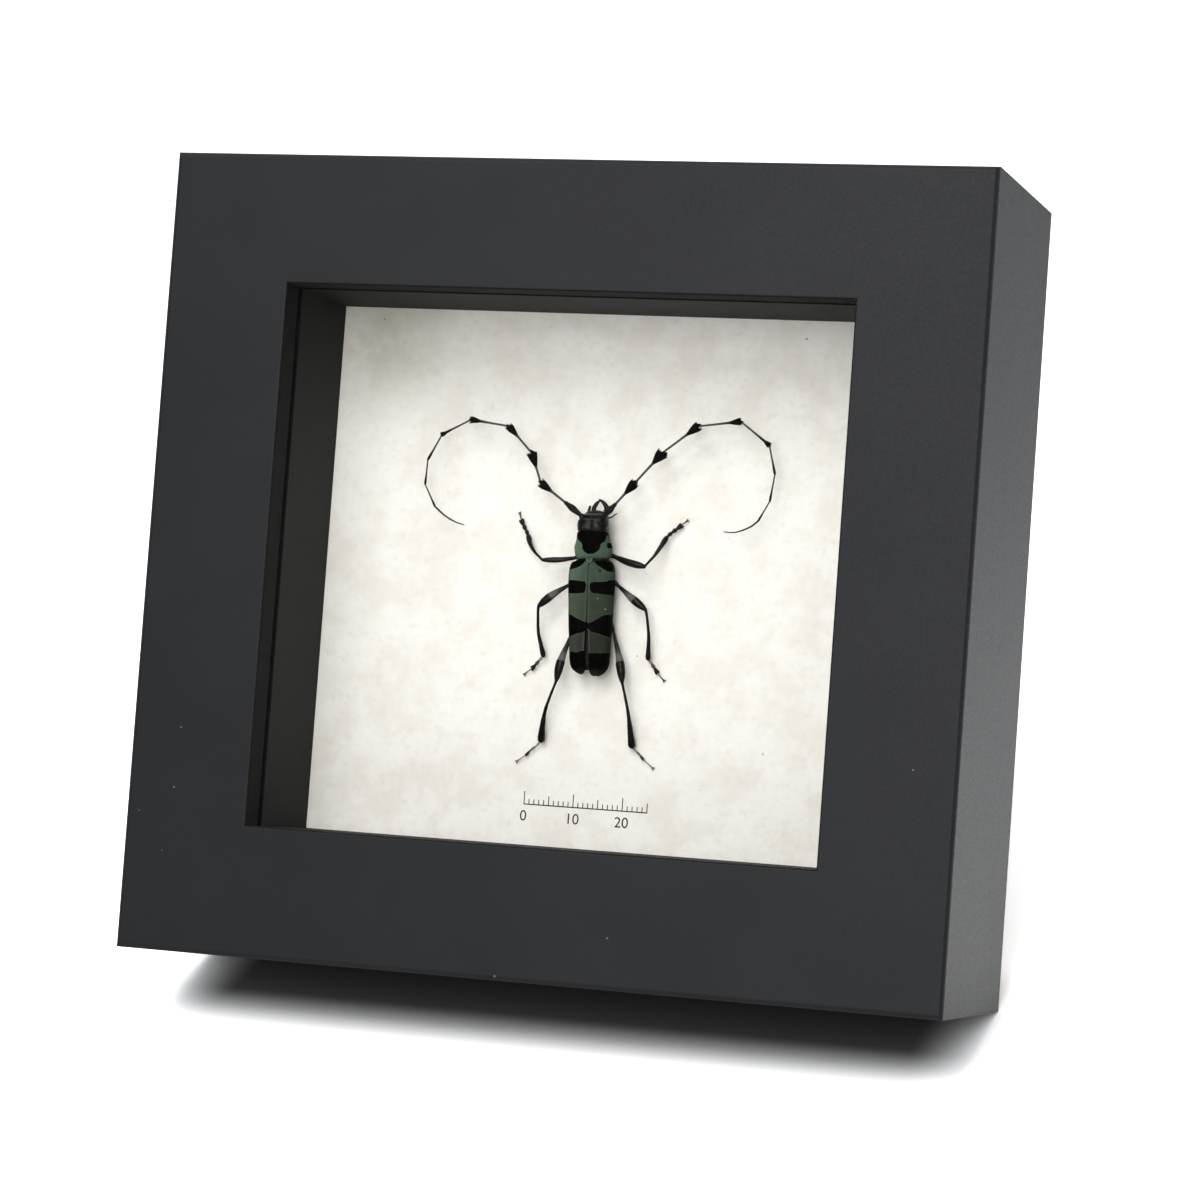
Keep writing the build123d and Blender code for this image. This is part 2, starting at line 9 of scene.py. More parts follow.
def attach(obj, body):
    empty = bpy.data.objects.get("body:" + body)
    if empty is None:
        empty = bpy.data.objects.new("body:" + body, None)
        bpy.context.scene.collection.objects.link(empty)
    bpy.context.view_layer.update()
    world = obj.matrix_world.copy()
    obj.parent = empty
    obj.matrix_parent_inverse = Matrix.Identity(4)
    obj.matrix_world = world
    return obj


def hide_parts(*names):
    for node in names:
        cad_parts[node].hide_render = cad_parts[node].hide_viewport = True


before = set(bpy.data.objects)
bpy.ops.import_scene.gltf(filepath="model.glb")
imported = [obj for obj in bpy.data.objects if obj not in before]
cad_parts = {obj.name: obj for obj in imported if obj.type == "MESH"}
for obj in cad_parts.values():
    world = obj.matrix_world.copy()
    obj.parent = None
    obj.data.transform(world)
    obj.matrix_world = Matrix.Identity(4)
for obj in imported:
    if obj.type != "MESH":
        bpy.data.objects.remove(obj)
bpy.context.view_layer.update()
scene = bpy.context.scene
scene.view_settings.view_transform = "Standard"

# The case's own directions and sizes in millimetres, and where the beetle is on its card

MM = 0.001
LEAN = radians(22)
ACROSS = Vector((1, 0, 0))
UP = Vector((0, sin(LEAN), cos(LEAN)))
FRONT = Vector((0, -cos(LEAN), sin(LEAN)))
REAR_EDGE = Vector((0, -15.3496, 0))
HALF_WIDTH = 81
HALF_HEIGHT = 77
DEPTH = 50
FACE = 25
CARD_LEVEL = 19.3
BEETLE_X = 0.9
BEETLE_TURN = radians(2.65)


def placed(origin, side, ahead, out):
    """Matrix from local millimetres to the row frame in metres."""
    columns = [side * MM, ahead * MM, out * MM, origin * MM]
    rows = [[column[axis] for column in columns] for axis in range(3)]
    return Matrix([*rows, [0, 0, 0, 1]])


case_centre = REAR_EDGE + UP * HALF_HEIGHT
card_centre = case_centre + FRONT * CARD_LEVEL
beetle_side = ACROSS * cos(BEETLE_TURN) + UP * sin(BEETLE_TURN)
beetle_ahead = UP * cos(BEETLE_TURN) - ACROSS * sin(BEETLE_TURN)
CARD = placed(card_centre, ACROSS, UP, FRONT)
BEETLE = placed(card_centre + ACROSS * BEETLE_X, beetle_side, beetle_ahead, FRONT)

# Camera, from the corners of the case in the photograph

camera_data = bpy.data.cameras.new("camera")
camera_data.sensor_width = 36
camera_data.lens = 110.8
camera_data.clip_end = 20
camera = bpy.data.objects.new("camera", camera_data)
camera.location = (0.22123, -0.65034, 0.29494)
camera.rotation_euler = (radians(72.098), radians(2.639), radians(17.976))
scene.collection.objects.link(camera)
scene.camera = camera

# Node trees


class Tree:
    """One material's or the world's nodes, put in by short calls."""

    def __init__(self, tree):
        self.tree = tree

    def put(self, socket, value):
        if isinstance(value, bpy.types.NodeSocket):
            self.tree.links.new(value, socket)
        else:
            socket.default_value = value

    def node(self, kind, inputs=(), **settings):
        """Adds a node, such as Math, with values or links for its inputs."""
        made = self.tree.nodes.new("ShaderNode" + kind)
        for name, value in settings.items():
            setattr(made, name, value)
        for key, value in dict(inputs).items():
            self.put(made.inputs[key], value)
        return made

    def math(self, operation, first, second=0):
        return self.node("Math", {0: first, 1: second}, operation=operation).outputs[0]

    def times(self, first, second):
        return self.math("MULTIPLY", first, second)

    def vector(self, operation, first, second=(0, 0, 0), output="Vector"):
        return self.node("VectorMath", {0: first, 1: second}, operation=operation).outputs[output]

    def mix(self, amount, first, second):
        made = self.node("Mix", data_type="RGBA")
        self.put(made.inputs["Factor"], amount)
        self.put(made.inputs["A"], first)
        self.put(made.inputs["B"], second)
        return made.outputs["Result"]

    def layered(self, colour, *layers):
        """Colour with further ones over it, each where its mask is 1."""
        for mask, over in layers:
            colour = self.mix(mask, colour, over)
        return colour

    def pick(self, wanted, chosen, other):
        """Number from other, where wanted is 0, to chosen, where it is 1."""
        made = self.node("Mix", {"Factor": wanted, "A": other, "B": chosen}, data_type="FLOAT")
        return made.outputs["Result"]

    def fade(self, value, start, end, low=0, high=1):
        """Smooth step of a value from low at start to high at end."""
        inputs = {"Value": value, "From Min": start, "From Max": end, "To Min": low, "To Max": high}
        return self.node("MapRange", inputs, interpolation_type="SMOOTHSTEP").outputs["Result"]

    def place(self):
        return self.node("TexCoord").outputs["Object"]

    def along(self, direction, origin):
        """Distance in millimetres from an origin in millimetres along a direction."""
        reach = self.vector("DOT_PRODUCT", self.place(), direction / MM, "Value")
        return self.math("SUBTRACT", reach, direction.dot(origin))

    def noise(self, size, detail=2, stretch=None, rough=0.5):
        """Noise whose spots are about so many millimetres across."""
        where = self.place()
        if stretch:
            where = self.node("Mapping", {"Vector": where, "Scale": stretch}).outputs["Vector"]
        inputs = {"Vector": where, "Scale": 1 / (size * MM), "Detail": detail, "Roughness": rough}
        return self.node("TexNoise", inputs).outputs["Fac"]

    def cells(self, size, feature="F1", randomness=1):
        inputs = {"Vector": self.place(), "Scale": 1 / (size * MM), "Randomness": randomness}
        return self.node("TexVoronoi", inputs, feature=feature).outputs["Distance"]

    def far(self, centre):
        """Distance in metres from a point in row-frame millimetres."""
        return self.vector("DISTANCE", self.place(), centre * MM, "Value")

    def spots(self, places):
        """1 within small round spots, each a centre in row-frame millimetres and a radius."""
        return self.any([self.fade(self.far(spot), size * MM, 0.6 * size * MM) for spot, size in places])

    def any(self, masks):
        total = masks[0]
        for mask in masks[1:]:
            total = self.math("MAXIMUM", total, mask)
        return total

    def mark(self, name="mark"):
        """Number that a mesh gives each of its points."""
        return self.node("Attribute", attribute_name=name).outputs["Fac"]

    def clouds(self, size, detail, start, end, first, second, rough=0.5):
        """Colour that drifts from first to second as noise rises from start to end."""
        return self.mix(self.fade(self.noise(size, detail, rough=rough), start, end), first, second)

    def bump(self, height, depth, normal=None):
        """Normal for a height of 0 to 1 that stands for so many millimetres."""
        inputs = {"Height": height, "Distance": depth * MM, "Strength": 1}
        if normal:
            inputs["Normal"] = normal
        return self.node("Bump", inputs).outputs["Normal"]


class Finish(Tree):
    """A material with one Principled shader."""

    def __init__(self, name, **sockets):
        self.name = name
        self.material = bpy.data.materials.new(name)
        self.material.use_nodes = True
        super().__init__(self.material.node_tree)
        self.shader = self.tree.nodes["Principled BSDF"]
        self.set(**sockets)

    def set(self, **sockets):
        for name, value in sockets.items():
            self.put(self.shader.inputs[name.replace("_", " ")], value)


def grey(level, tint=(1, 1, 1)):
    return (*(level * share for share in tint), 1)


def rgb(red, green, blue):
    """Linear colour from 0 to 255 screen values."""
    linear = []
    for value in (red, green, blue):
        share = value / 255
        linear.append(share / 12.92 if share <= 0.04045 else ((share + 0.055) / 1.055) ** 2.4)
    return (*linear, 1)


def case_spot(x, z, depth):
    """Point of the case: x across and z up from its middle, depth out from its back."""
    return case_centre + ACROSS * x + UP * z + FRONT * depth


def beetle_spot(a, b, h):
    """Point over the card: a across the beetle, b towards its head, h above the paper."""
    return card_centre + ACROSS * BEETLE_X + beetle_side * a + beetle_ahead * b + FRONT * h


# Light: a large softbox above, a smaller one ahead, and white surroundings with a dim room in front

AMBIENT = 0.5
DIM_ROOM = 0.06
ROOM_EDGE = 0.35
COOL_WHITE = (0.965, 0.985, 1)
world = bpy.data.worlds.new("studio")
scene.world = world
world.use_nodes = True
studio = Tree(world.node_tree)
rays = studio.node("LightPath").outputs
heading = studio.node("SeparateXYZ", {0: studio.node("TexCoord").outputs["Generated"]})
room = studio.fade(heading.outputs["Y"], -ROOM_EDGE, ROOM_EDGE, DIM_ROOM, 1)
background_seen = studio.any([rays["Is Camera Ray"], rays["Is Transmission Ray"], AMBIENT])
strength = studio.pick(rays["Is Glossy Ray"], room, background_seen)
background = world.node_tree.nodes["Background"]
daylight = studio.mix(rays["Is Camera Ray"], grey(1, COOL_WHITE), grey(1))
studio.put(background.inputs["Color"], daylight)
studio.put(background.inputs["Strength"], strength)


LAMPS_AWAY = 1.1


def softbox(name, azimuth, elevation, width, height, watts):
    """Area lamp that faces the case from a direction in degrees, 0 being straight ahead."""
    lamp_data = bpy.data.lights.new(name, "AREA")
    lamp_data.shape = "RECTANGLE"
    lamp_data.size = width
    lamp_data.size_y = height
    lamp_data.energy = watts
    lamp = bpy.data.objects.new(name, lamp_data)
    scene.collection.objects.link(lamp)
    turn, rise = radians(azimuth), radians(elevation)
    toward = Vector((sin(turn) * cos(rise), -cos(turn) * cos(rise), sin(rise)))
    lamp.location = case_centre * MM + toward * LAMPS_AWAY
    lamp.rotation_euler = toward.to_track_quat("Z", "Y").to_euler()


softbox("key", azimuth=-10, elevation=55, width=0.56, height=0.6, watts=5.6)
softbox("front", azimuth=6, elevation=26, width=0.4, height=0.4, watts=3.7)

# Floor: pale for the light, white for the eye except for a painted shadow under the case's front, dimmer for
# mirrors in front

FLOOR_REACH = 9
FLOOR_COLOUR = 0.86
FLOOR_PAINTED_SHADOW = 0.14
FLOOR_CLEAR = 2.5
FLOOR_FAR = 1.5
FLOOR_AHEAD = 0.2
SHADE_CENTRE = Vector((0, -22, 0)) * MM
SHADE_REACH = Vector((68, 13, 0)) * MM
SHADE_RUN = (0, 19 * MM)
MIRROR_RUN = (20 * MM, 500 * MM)
BEHIND_RUN = (-60, 0)
ground = Finish("floor")
floor_rays = ground.node("LightPath").outputs
offset = ground.vector("ABSOLUTE", ground.vector("SUBTRACT", ground.place(), SHADE_CENTRE))
beyond = ground.vector("MAXIMUM", ground.vector("SUBTRACT", offset, SHADE_REACH))
clearance = ground.vector("LENGTH", beyond, output="Value")
# Painted shadow: for the eye, the floor under the case's front is far darker than the clear floor around it.
floor_seen = ground.fade(clearance, *SHADE_RUN, FLOOR_PAINTED_SHADOW, FLOOR_CLEAR)
behind = ground.fade(ground.along(Vector((0, 1, 0)), Vector()), *BEHIND_RUN, FLOOR_AHEAD, 1)
floor_mirrored = ground.times(ground.fade(clearance, *MIRROR_RUN, FLOOR_CLEAR, FLOOR_FAR), behind)
seen = ground.any([floor_rays["Is Camera Ray"], floor_rays["Is Transmission Ray"]])
floor_direct = ground.pick(seen, floor_seen, FLOOR_COLOUR)
floor_level = ground.pick(floor_rays["Is Glossy Ray"], floor_mirrored, floor_direct)
diffuse = ground.node("BsdfDiffuse", {"Color": floor_level})
ground.put(ground.tree.nodes["Material Output"].inputs["Surface"], diffuse.outputs["BSDF"])
corners = [(x * FLOOR_REACH, y * FLOOR_REACH, 0) for x, y in ((-1, -1), (1, -1), (1, 1), (-1, 1))]
floor_mesh = bpy.data.meshes.new("floor")
floor_mesh.from_pydata(corners, [], [(0, 1, 2, 3)])
floor_mesh.materials.append(ground.material)
floor = bpy.data.objects.new("floor", floor_mesh)
scene.collection.objects.link(floor)

# Rail paint, bare at the back, with mitre lines and a few grains of dust. Each grain: x, z and radius.

DUST = [
    (72.6, -32.75, 0.24), (17.5, -67.4, 0.26), (-3.8, -76.2, 0.3), (-70.8, -34.2, 0.22),
    (-71.3, -45.7, 0.24), (-78.2, -50.6, 0.16), (-72.8, -57.9, 0.15),
]
CHARCOAL = grey(0.012, (0.94, 1, 1.17)), grey(0.0136, (0.95, 1, 1.15))
paint = Finish("rail_paint", Specular_IOR_Level=0.28)
x = paint.along(ACROSS, case_centre)
z = paint.along(UP, case_centre)
depth = paint.along(FRONT, case_centre)
beside = paint.math("SUBTRACT", HALF_WIDTH, paint.math("ABSOLUTE", x))
over = paint.math("SUBTRACT", HALF_HEIGHT, paint.math("ABSOLUTE", z))
mitre = paint.math("ABSOLUTE", paint.math("SUBTRACT", beside, over))
mitre_line = paint.fade(mitre, 0.14, 0.04, 0, 0.5)
fine = paint.noise(0.55, 3)
# The window's walls are matt, and darker by painted shade.
shaded_window_wall = paint.fade(paint.math("MINIMUM", beside, over), FACE - 0.3, FACE - 0.1)
rub = paint.times(paint.fade(paint.noise(4, 4), 0.6, 0.7), paint.fade(depth, DEPTH - 0.8, DEPTH - 0.3))
edge = paint.any([paint.fade(beside, 0.8, 0.4), paint.fade(over, 0.8, 0.4)])
grains = paint.spots([(case_spot(dx, dz, DEPTH), size) for dx, dz, size in DUST])
painted = paint.layered(
    paint.clouds(22, 3, 0.35, 0.65, *CHARCOAL),
    (paint.fade(fine, 0.55, 0.8, 0, 0.25), grey(0.022)),
    (paint.times(mitre_line, 0.4), grey(0.008)),
    (shaded_window_wall, grey(0.006)),
    (paint.times(paint.times(rub, edge), 0.35), grey(0.05)),
    (paint.times(grains, 0.6), grey(0.17)),
)
board = paint.clouds(0.9, 5, 0.3, 0.7, rgb(128, 96, 66), rgb(166, 131, 94), rough=0.7)
bare = paint.fade(paint.math("ADD", depth, paint.times(paint.noise(1.6, 3), 0.5)), 0.5, 0.35)
satin = paint.fade(paint.math("ADD", fine, paint.times(bare, 2)), 0.3, 0.9, 0.5, 0.62)
MATT = 0.95
paint.set(
    Base_Color=paint.mix(bare, painted, board),
    Roughness=paint.pick(shaded_window_wall, MATT, satin),
    Normal=paint.bump(mitre_line, -0.012, paint.bump(paint.noise(0.35, 4), 0.012)),
)

# Black spacer strips: paper-faced board

spacer = Finish("spacer_board", Roughness=0.75, Specular_IOR_Level=0.25)
spacer.set(
    Base_Color=spacer.clouds(0.8, 4, 0.3, 0.75, grey(0.0085), grey(0.0145, (1.01, 1, 0.98))),
    Normal=spacer.bump(spacer.noise(0.3, 4), 0.02),
)

# Glass: clear and low in glare, with faint wipe marks

GLARE = 0.008
glass = Finish("glass", Roughness=0.02, Metallic=1, Base_Color=grey(1))
glass.set(Normal=glass.bump(glass.noise(30, 2), 0.01))
facing = glass.node("LayerWeight", {"Blend": 0.5}).outputs["Facing"]
sheen = glass.pick(glass.math("POWER", facing, 5), 1, GLARE)
wipes = glass.fade(glass.noise(16, 4, stretch=(1, 0.4, 0.4)), 0.4, 0.7, 0.9, 1)
clear = glass.node("BsdfTransparent", {"Color": (0.995, 0.995, 0.99, 1)})
layers = {0: glass.times(sheen, wipes), 1: clear.outputs["BSDF"], 2: glass.shader.outputs["BSDF"]}
pane = glass.node("MixShader", layers)
glass.put(glass.tree.nodes["Material Output"].inputs["Surface"], pane.outputs["Shader"])

# Parchment behind the beetle, with mottled painted shade in its upper left corner and a few specks. Each
# speck: x, z and radius.

SPECKS = [
    (39.1, 48.5, 0.24), (-47.6, 49.7, 0.2), (36.2, -31.3, 0.2), (9.8, -14.1, 0.16), (-20.9, -4.7, 0.12),
    (24.3, -39, 0.14),
]
CORNER_SHADE = (-48, 47)
CORNER_SHADE_RADIUS = 23
paper = Finish("paper", Roughness=0.9, Specular_IOR_Level=0.15)
fibre = paper.noise(1.1, 6, rough=0.65)
# Painted shade: the paper darkens, in mottled patches, towards its upper left corner, where the walls shade
# it.
corner_shade = paper.fade(paper.far(case_spot(*CORNER_SHADE, CARD_LEVEL)), CORNER_SHADE_RADIUS * MM, 0, 0, 0.75)
corner_shade = paper.times(corner_shade, paper.fade(paper.noise(2.6, 5, rough=0.65), 0.25, 0.65, 0.6, 1))
specks = paper.spots([(case_spot(dx, dz, CARD_LEVEL), size) for dx, dz, size in SPECKS])
sheet = paper.layered(
    paper.clouds(8, 5, 0.4, 0.66, rgb(255, 253, 247), rgb(247, 242, 234), rough=0.6),
    (paper.fade(fibre, 0.48, 0.74, 0, 0.45), rgb(234, 225, 215)),
    (corner_shade, rgb(204, 201, 186)),
    (paper.times(specks, 0.8), rgb(96, 88, 76)),
)
paper.set(Base_Color=sheet, Normal=paper.bump(paper.noise(0.9, 6, rough=0.6), 0.03))

ink = Finish("ink", Roughness=0.6, Specular_IOR_Level=0.3)
ink.set(Base_Color=ink.clouds(0.25, 3, 0.35, 0.7, grey(0.009), grey(0.03)))

# Foam, corrugated filler and hardboard

foam = Finish("foam", Roughness=0.85)
foam.set(
    Base_Color=foam.mix(foam.fade(foam.cells(1.1), 0.1, 0.6), rgb(226, 226, 222), rgb(244, 244, 240)),
    Normal=foam.bump(foam.cells(1.1), 0.2),
)

FLUTE_PITCH = 7
kraft = Finish("filler_board", Roughness=0.85, Specular_IOR_Level=0.2)
flute = kraft.math("SINE", kraft.times(kraft.along(ACROSS, case_centre), 2 * pi / FLUTE_PITCH))
kraft_colour = kraft.clouds(0.8, 5, 0.3, 0.7, rgb(150, 116, 80), rgb(178, 142, 102))
kraft.set(
    Base_Color=kraft.mix(kraft.fade(flute, -1, 1, 0, 0.2), kraft_colour, rgb(120, 90, 60)),
    Normal=kraft.bump(flute, 0.15),
)

hardboard = Finish("hardboard", Specular_IOR_Level=0.35)
strands = hardboard.noise(0.7, 6, rough=0.7)
cloudy = hardboard.noise(18, 3)
scuffs = hardboard.noise(2.4, 5, stretch=(1, 0.25, 0.25))
faced = hardboard.layered(
    grey(0.021),
    (hardboard.fade(cloudy, 0.3, 0.7), grey(0.034, (1.03, 1, 0.96))),
    (hardboard.fade(strands, 0.5, 0.8, 0, 0.4), grey(0.055, (1.1, 1, 0.9))),
    (hardboard.fade(scuffs, 0.64, 0.74, 0, 0.3), rgb(126, 100, 76)),
)
hardboard.set(
    Base_Color=faced,
    Roughness=hardboard.fade(cloudy, 0.3, 0.7, 0.42, 0.6),
    Normal=hardboard.bump(strands, 0.03),
)

# Metals


def metal(name, light, dark, roughness, scratch_size):
    made = Finish(name, Metallic=1)
    scratches = made.noise(scratch_size, 4, stretch=(0.12, 1, 1))
    made.set(
        Base_Color=made.clouds(5, 4, 0.35, 0.7, light, dark),
        Roughness=made.fade(scratches, 0.25, 0.75, roughness - 0.08, roughness + 0.14),
        Normal=made.bump(scratches, 0.01),
    )
    return made


steel = metal("plated_steel", rgb(198, 200, 200), rgb(150, 150, 146), 0.32, 0.5)
brass = metal("brass_plate", rgb(214, 178, 104), rgb(166, 128, 66), 0.3, 0.5)
pin_finish = Finish("pin_steel", Roughness=0.45, Specular_IOR_Level=0.3)
pin_finish.set(
    Base_Color=pin_finish.clouds(0.4, 3, 0.35, 0.7, grey(0.004), grey(0.01)),
    Normal=pin_finish.bump(pin_finish.noise(0.2, 3), 0.01),
)

# Beetle finishes. In each, mark is a number that the mesh gives every point.


def chitin(name, dark, pale, roughness, pits, pit_depth):
    """Black horn, paler where mark is 1: grey down, and on the head painted highlights on the bumps and
    ridges.
    """
    made = Finish(name, Specular_IOR_Level=0.22)
    down = made.math("ADD", made.mark(), made.times(made.noise(0.35, 4), 0.35))
    down = made.fade(down, 0.35, 1)
    base = made.clouds(0.7, 3, 0.35, 0.7, dark, grey(0.008, (1.05, 1, 0.92)))
    made.set(
        Base_Color=made.mix(down, base, pale),
        Roughness=made.fade(down, 0, 1, roughness, 0.75),
        Normal=made.bump(made.cells(pits), -pit_depth, made.bump(made.noise(0.16, 3), 0.01)),
    )
    return made


horn = chitin("chitin", grey(0.0028), rgb(94, 92, 88), 0.34, 0.28, 0.03)
antenna_finish = chitin("antenna_chitin", grey(0.003), rgb(78, 77, 74), 0.5, 0.2, 0.01)
foot_finish = chitin("foot_chitin", grey(0.006, (1.15, 1, 0.85)), rgb(142, 136, 122), 0.5, 0.2, 0.01)
hair_finish = Finish("hair", Roughness=0.7, Specular_IOR_Level=0.1)
hair_finish.set(Base_Color=hair_finish.clouds(0.3, 2, 0.3, 0.7, grey(0.002), grey(0.005)))

bright = Finish("eye", Roughness=0.18, Coat_Weight=0.3)
bright.set(
    Base_Color=bright.clouds(0.4, 2, 0.3, 0.7, grey(0.004), grey(0.01)),
    Normal=bright.bump(bright.cells(0.07, randomness=0.2), -0.012),
)

# Down of the wing cases and pronotum, with painted shade: brighter on the left, darker on the right. Each
# run: where one level fades into another.

SIDE_SHADE = (1.3, 0.62)
SIDE_SHADE_RUN = (-4.6, 1.6)
MIDDLE_RUN = (1.5, -5)
REAR_RUN = (-7.5, -11.5)
TIP_RUN = (-17, -18.6)
MOTES = [(beetle_spot(3.27, -5.87, 5.6), 0.14), (beetle_spot(1.82, -3.84, 6.1), 0.1)]


def velvet(name, front, middle, rear, rim, spread, with_tip):
    """Grey-green down with black velvet where mark, the distance from a black patch, is below spread."""
    made = Finish(name, Specular_IOR_Level=0.02)
    ahead = made.along(beetle_ahead, card_centre)
    fuzz = made.noise(0.22, 4)
    mottle = made.noise(1.1, 4)
    ragged = made.math("ADD", made.times(fuzz, 0.36), made.times(made.noise(0.7, 3), 0.34))
    edge = made.math("ADD", made.mark(), made.math("SUBTRACT", ragged, 0.35 + spread))
    green = made.layered(
        front,
        (made.fade(ahead, *MIDDLE_RUN), middle),
        (made.fade(ahead, *REAR_RUN), rear),
        (made.fade(mottle, 0.35, 0.7, 0, 0.3), rear),
        (made.fade(fuzz, 0.5, 0.75, 0, 0.3), rim),
        (made.times(made.mark("rim"), 0.8), rim),
        (made.fade(edge, 0.22, 0.04, 0, 0.4), rim),
    )
    # Painted shade: the green is scaled from 1.3 times on the left to 0.62 times on the right, as if lit
    # from the left.
    side_shade = made.fade(made.along(beetle_side, card_centre), *SIDE_SHADE_RUN, *SIDE_SHADE)
    green = made.node("VectorMath", {0: green, "Scale": side_shade}, operation="SCALE").outputs[0]
    black = made.mix(made.fade(mottle, 0.4, 0.7), grey(0.001), grey(0.0024, (1.1, 1, 0.8)))
    if with_tip:
        tip = made.fade(ahead, *TIP_RUN, 0, 0.6)
        black = made.mix(tip, black, rgb(58, 46, 38))
        green = made.mix(made.spots(MOTES), green, rgb(170, 172, 160))
    made.set(
        Base_Color=made.mix(made.fade(edge, -0.05, 0.05), black, green),
        Roughness=made.fade(edge, -0.1, 0.1, 0.65, 0.85),
        Normal=made.bump(made.cells(0.24), -0.02, made.bump(fuzz, 0.02)),
    )
    return made


WING_GREENS = rgb(80, 98, 84), rgb(68, 78, 64), rgb(56, 58, 51), rgb(98, 108, 96)
SHIELD_GREENS = rgb(92, 112, 98), rgb(92, 112, 98), rgb(74, 90, 80), rgb(120, 142, 126)
wing_finish = velvet("wing_case", *WING_GREENS, spread=0.2, with_tip=True)
shield_finish = velvet("pronotum_case", *SHIELD_GREENS, spread=0, with_tip=False)

# Finishes on the CAD nodes, whose materials have the same names

slot_finishes = [
    paint, spacer, glass, paper, foam, kraft, hardboard, steel, brass, pin_finish, horn, wing_finish
]
FINISHES = {finish.name: finish.material for finish in slot_finishes}
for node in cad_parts.values():
    for material_slot in node.material_slots:
        material_slot.material = FINISHES[material_slot.material.name]

# Mesh building. The seed keeps the noise the same in every run.

noise.seed_set(11)


class Shape:
    """Points in local millimetres, with a mark and a rim each, and faces."""

    def __init__(self):
        self.points, self.marks, self.rims, self.faces = [], [], [], []

    def ring(self, points, mark=0, rim=0):
        """Adds points, with one mark and rim for all or a list of them, and returns their numbers."""
        first = len(self.points)
        self.points += [Vector(point) for point in points]
        self.marks += mark if isinstance(mark, list) else [mark] * len(points)
        self.rims += rim if isinstance(rim, list) else [rim] * len(points)
        return list(range(first, first + len(points)))

    def skin(self, rings, closed=True):
        """Joins rings in a row by faces. A closed skin goes all round and has capped ends."""
        for near, far in zip(rings, rings[1:]):
            for index in range(0 if closed else 1, len(near)):
                self.faces.append((near[index - 1], near[index], far[index], far[index - 1]))
        if closed:
            self.faces.append(tuple(reversed(rings[0])))
            self.faces.append(tuple(rings[-1]))


def finished(name, shape, finish, nodes, place=BEETLE, thickness=0, body="case"):
    """Turns a shape into a piece that stands for its CAD nodes."""
    mesh = bpy.data.meshes.new(name)
    mesh.from_pydata([place @ point for point in shape.points], [], shape.faces)
    for attribute, values in (("mark", shape.marks), ("rim", shape.rims)):
        mesh.attributes.new(attribute, "FLOAT", "POINT").data.foreach_set("value", values)
    build = bmesh.new()
    build.from_mesh(mesh)
    bmesh.ops.recalc_face_normals(build, faces=build.faces)
    build.to_mesh(mesh)
    build.free()
    mesh.shade_smooth()
    mesh.materials.append(finish.material)
    piece = bpy.data.objects.new(name, mesh)
    scene.collection.objects.link(piece)
    if thickness:
        shell = piece.modifiers.new("shell", "SOLIDIFY")
        shell.thickness = thickness * MM
        shell.offset = -1
    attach(piece, body)
    if nodes:
        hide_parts(*nodes)
    return piece


def spline(stations, steps):
    """Smooth run through the stations, which are equally long tuples."""
    padded = [stations[0], *stations, stations[-1]]
    run = []
    for before, start, end, after in zip(padded, padded[1:], padded[2:], padded[3:]):
        for step in range(steps):
            t = step / steps
            run.append(tuple(
                0.5 * (2 * s + (e - b) * t + (2 * b - 5 * s + 4 * e - n) * t ** 2
                       + (3 * s - b - 3 * e + n) * t ** 3)
                for b, s, e, n in zip(before, start, end, after)
            ))
    run.append(tuple(float(value) for value in stations[-1]))
    return run


def headings(points):
    """Direction of a run at each of its points."""
    steps = [(end - start).normalized() for start, end in zip(points, points[1:])]
    return [(before + after).normalized() for before, after in zip([steps[0]] + steps, steps + [steps[-1]])]


OUT = Vector((0, 0, 1))
DOME = ((0.55, 0.8), (0.85, 0.4))


def tube(shape, stations, sides=12, flat=1, domed=True):
    """Limb through (a, b, h, radius, mark) stations, its thickness over the card squeezed by flat."""
    points = [Vector(station[:3]) for station in stations]
    ways = headings(points)
    rows = [(point, way, station[3], station[4]) for point, way, station in zip(points, ways, stations)]
    if domed:
        for end, sign in ((0, -1), (-1, 1)):
            point, way, radius, mark = rows[end]
            dome = [(point + way * (sign * radius * out), way, radius * wide, mark) for out, wide in DOME]
            rows = [*reversed(dome), *rows] if end == 0 else [*rows, *dome]
    rings = []
    for point, way, radius, mark in rows:
        side = way.cross(OUT)
        side = side.normalized() if side.length > 0.05 else Vector((1, 0, 0))
        over = side.cross(way).normalized()
        turns = [2 * pi * index / sides for index in range(sides)]
        circle = [point + side * (radius * cos(turn)) + over * (radius * flat * sin(turn)) for turn in turns]
        rings.append(shape.ring(circle, mark))
    shape.skin(rings)


def hair(shape, root, tip, width):
    """One hair: a thin three-sided spike."""
    way = (tip - root).normalized()
    side = way.orthogonal().normalized() * width
    over = way.cross(side)
    back = root - side * 0.5
    near, left, right = shape.ring([root + side, back + over * 0.87, back - over * 0.87])
    end = shape.ring([tip])[0]
    shape.faces += [(near, left, end), (left, right, end), (right, near, end), (right, left, near)]


def roughen(shape, size, depth):
    """Moves points a little by smooth noise."""
    for point in shape.points:
        point += noise.noise_vector(point / size) * depth


def patch_distance(a, b, patches):
    """Distance from the nearest patch outline, below 0 inside a patch."""
    nearest = inf
    inside = False
    for patch in patches:
        crossings = False
        for (a0, b0), (a1, b1) in zip(patch, patch[1:] + patch[:1]):
            run_a, run_b = a1 - a0, b1 - b0
            share = max(0, min(1, ((a - a0) * run_a + (b - b0) * run_b) / (run_a ** 2 + run_b ** 2)))
            nearest = min(nearest, sqrt((a - a0 - share * run_a) ** 2 + (b - b0 - share * run_b) ** 2))
            if (b0 > b) != (b1 > b) and a < a0 + run_a * (b - b0) / run_b:
                crossings = not crossings
        inside = inside or crossings
    return -nearest if inside else nearest


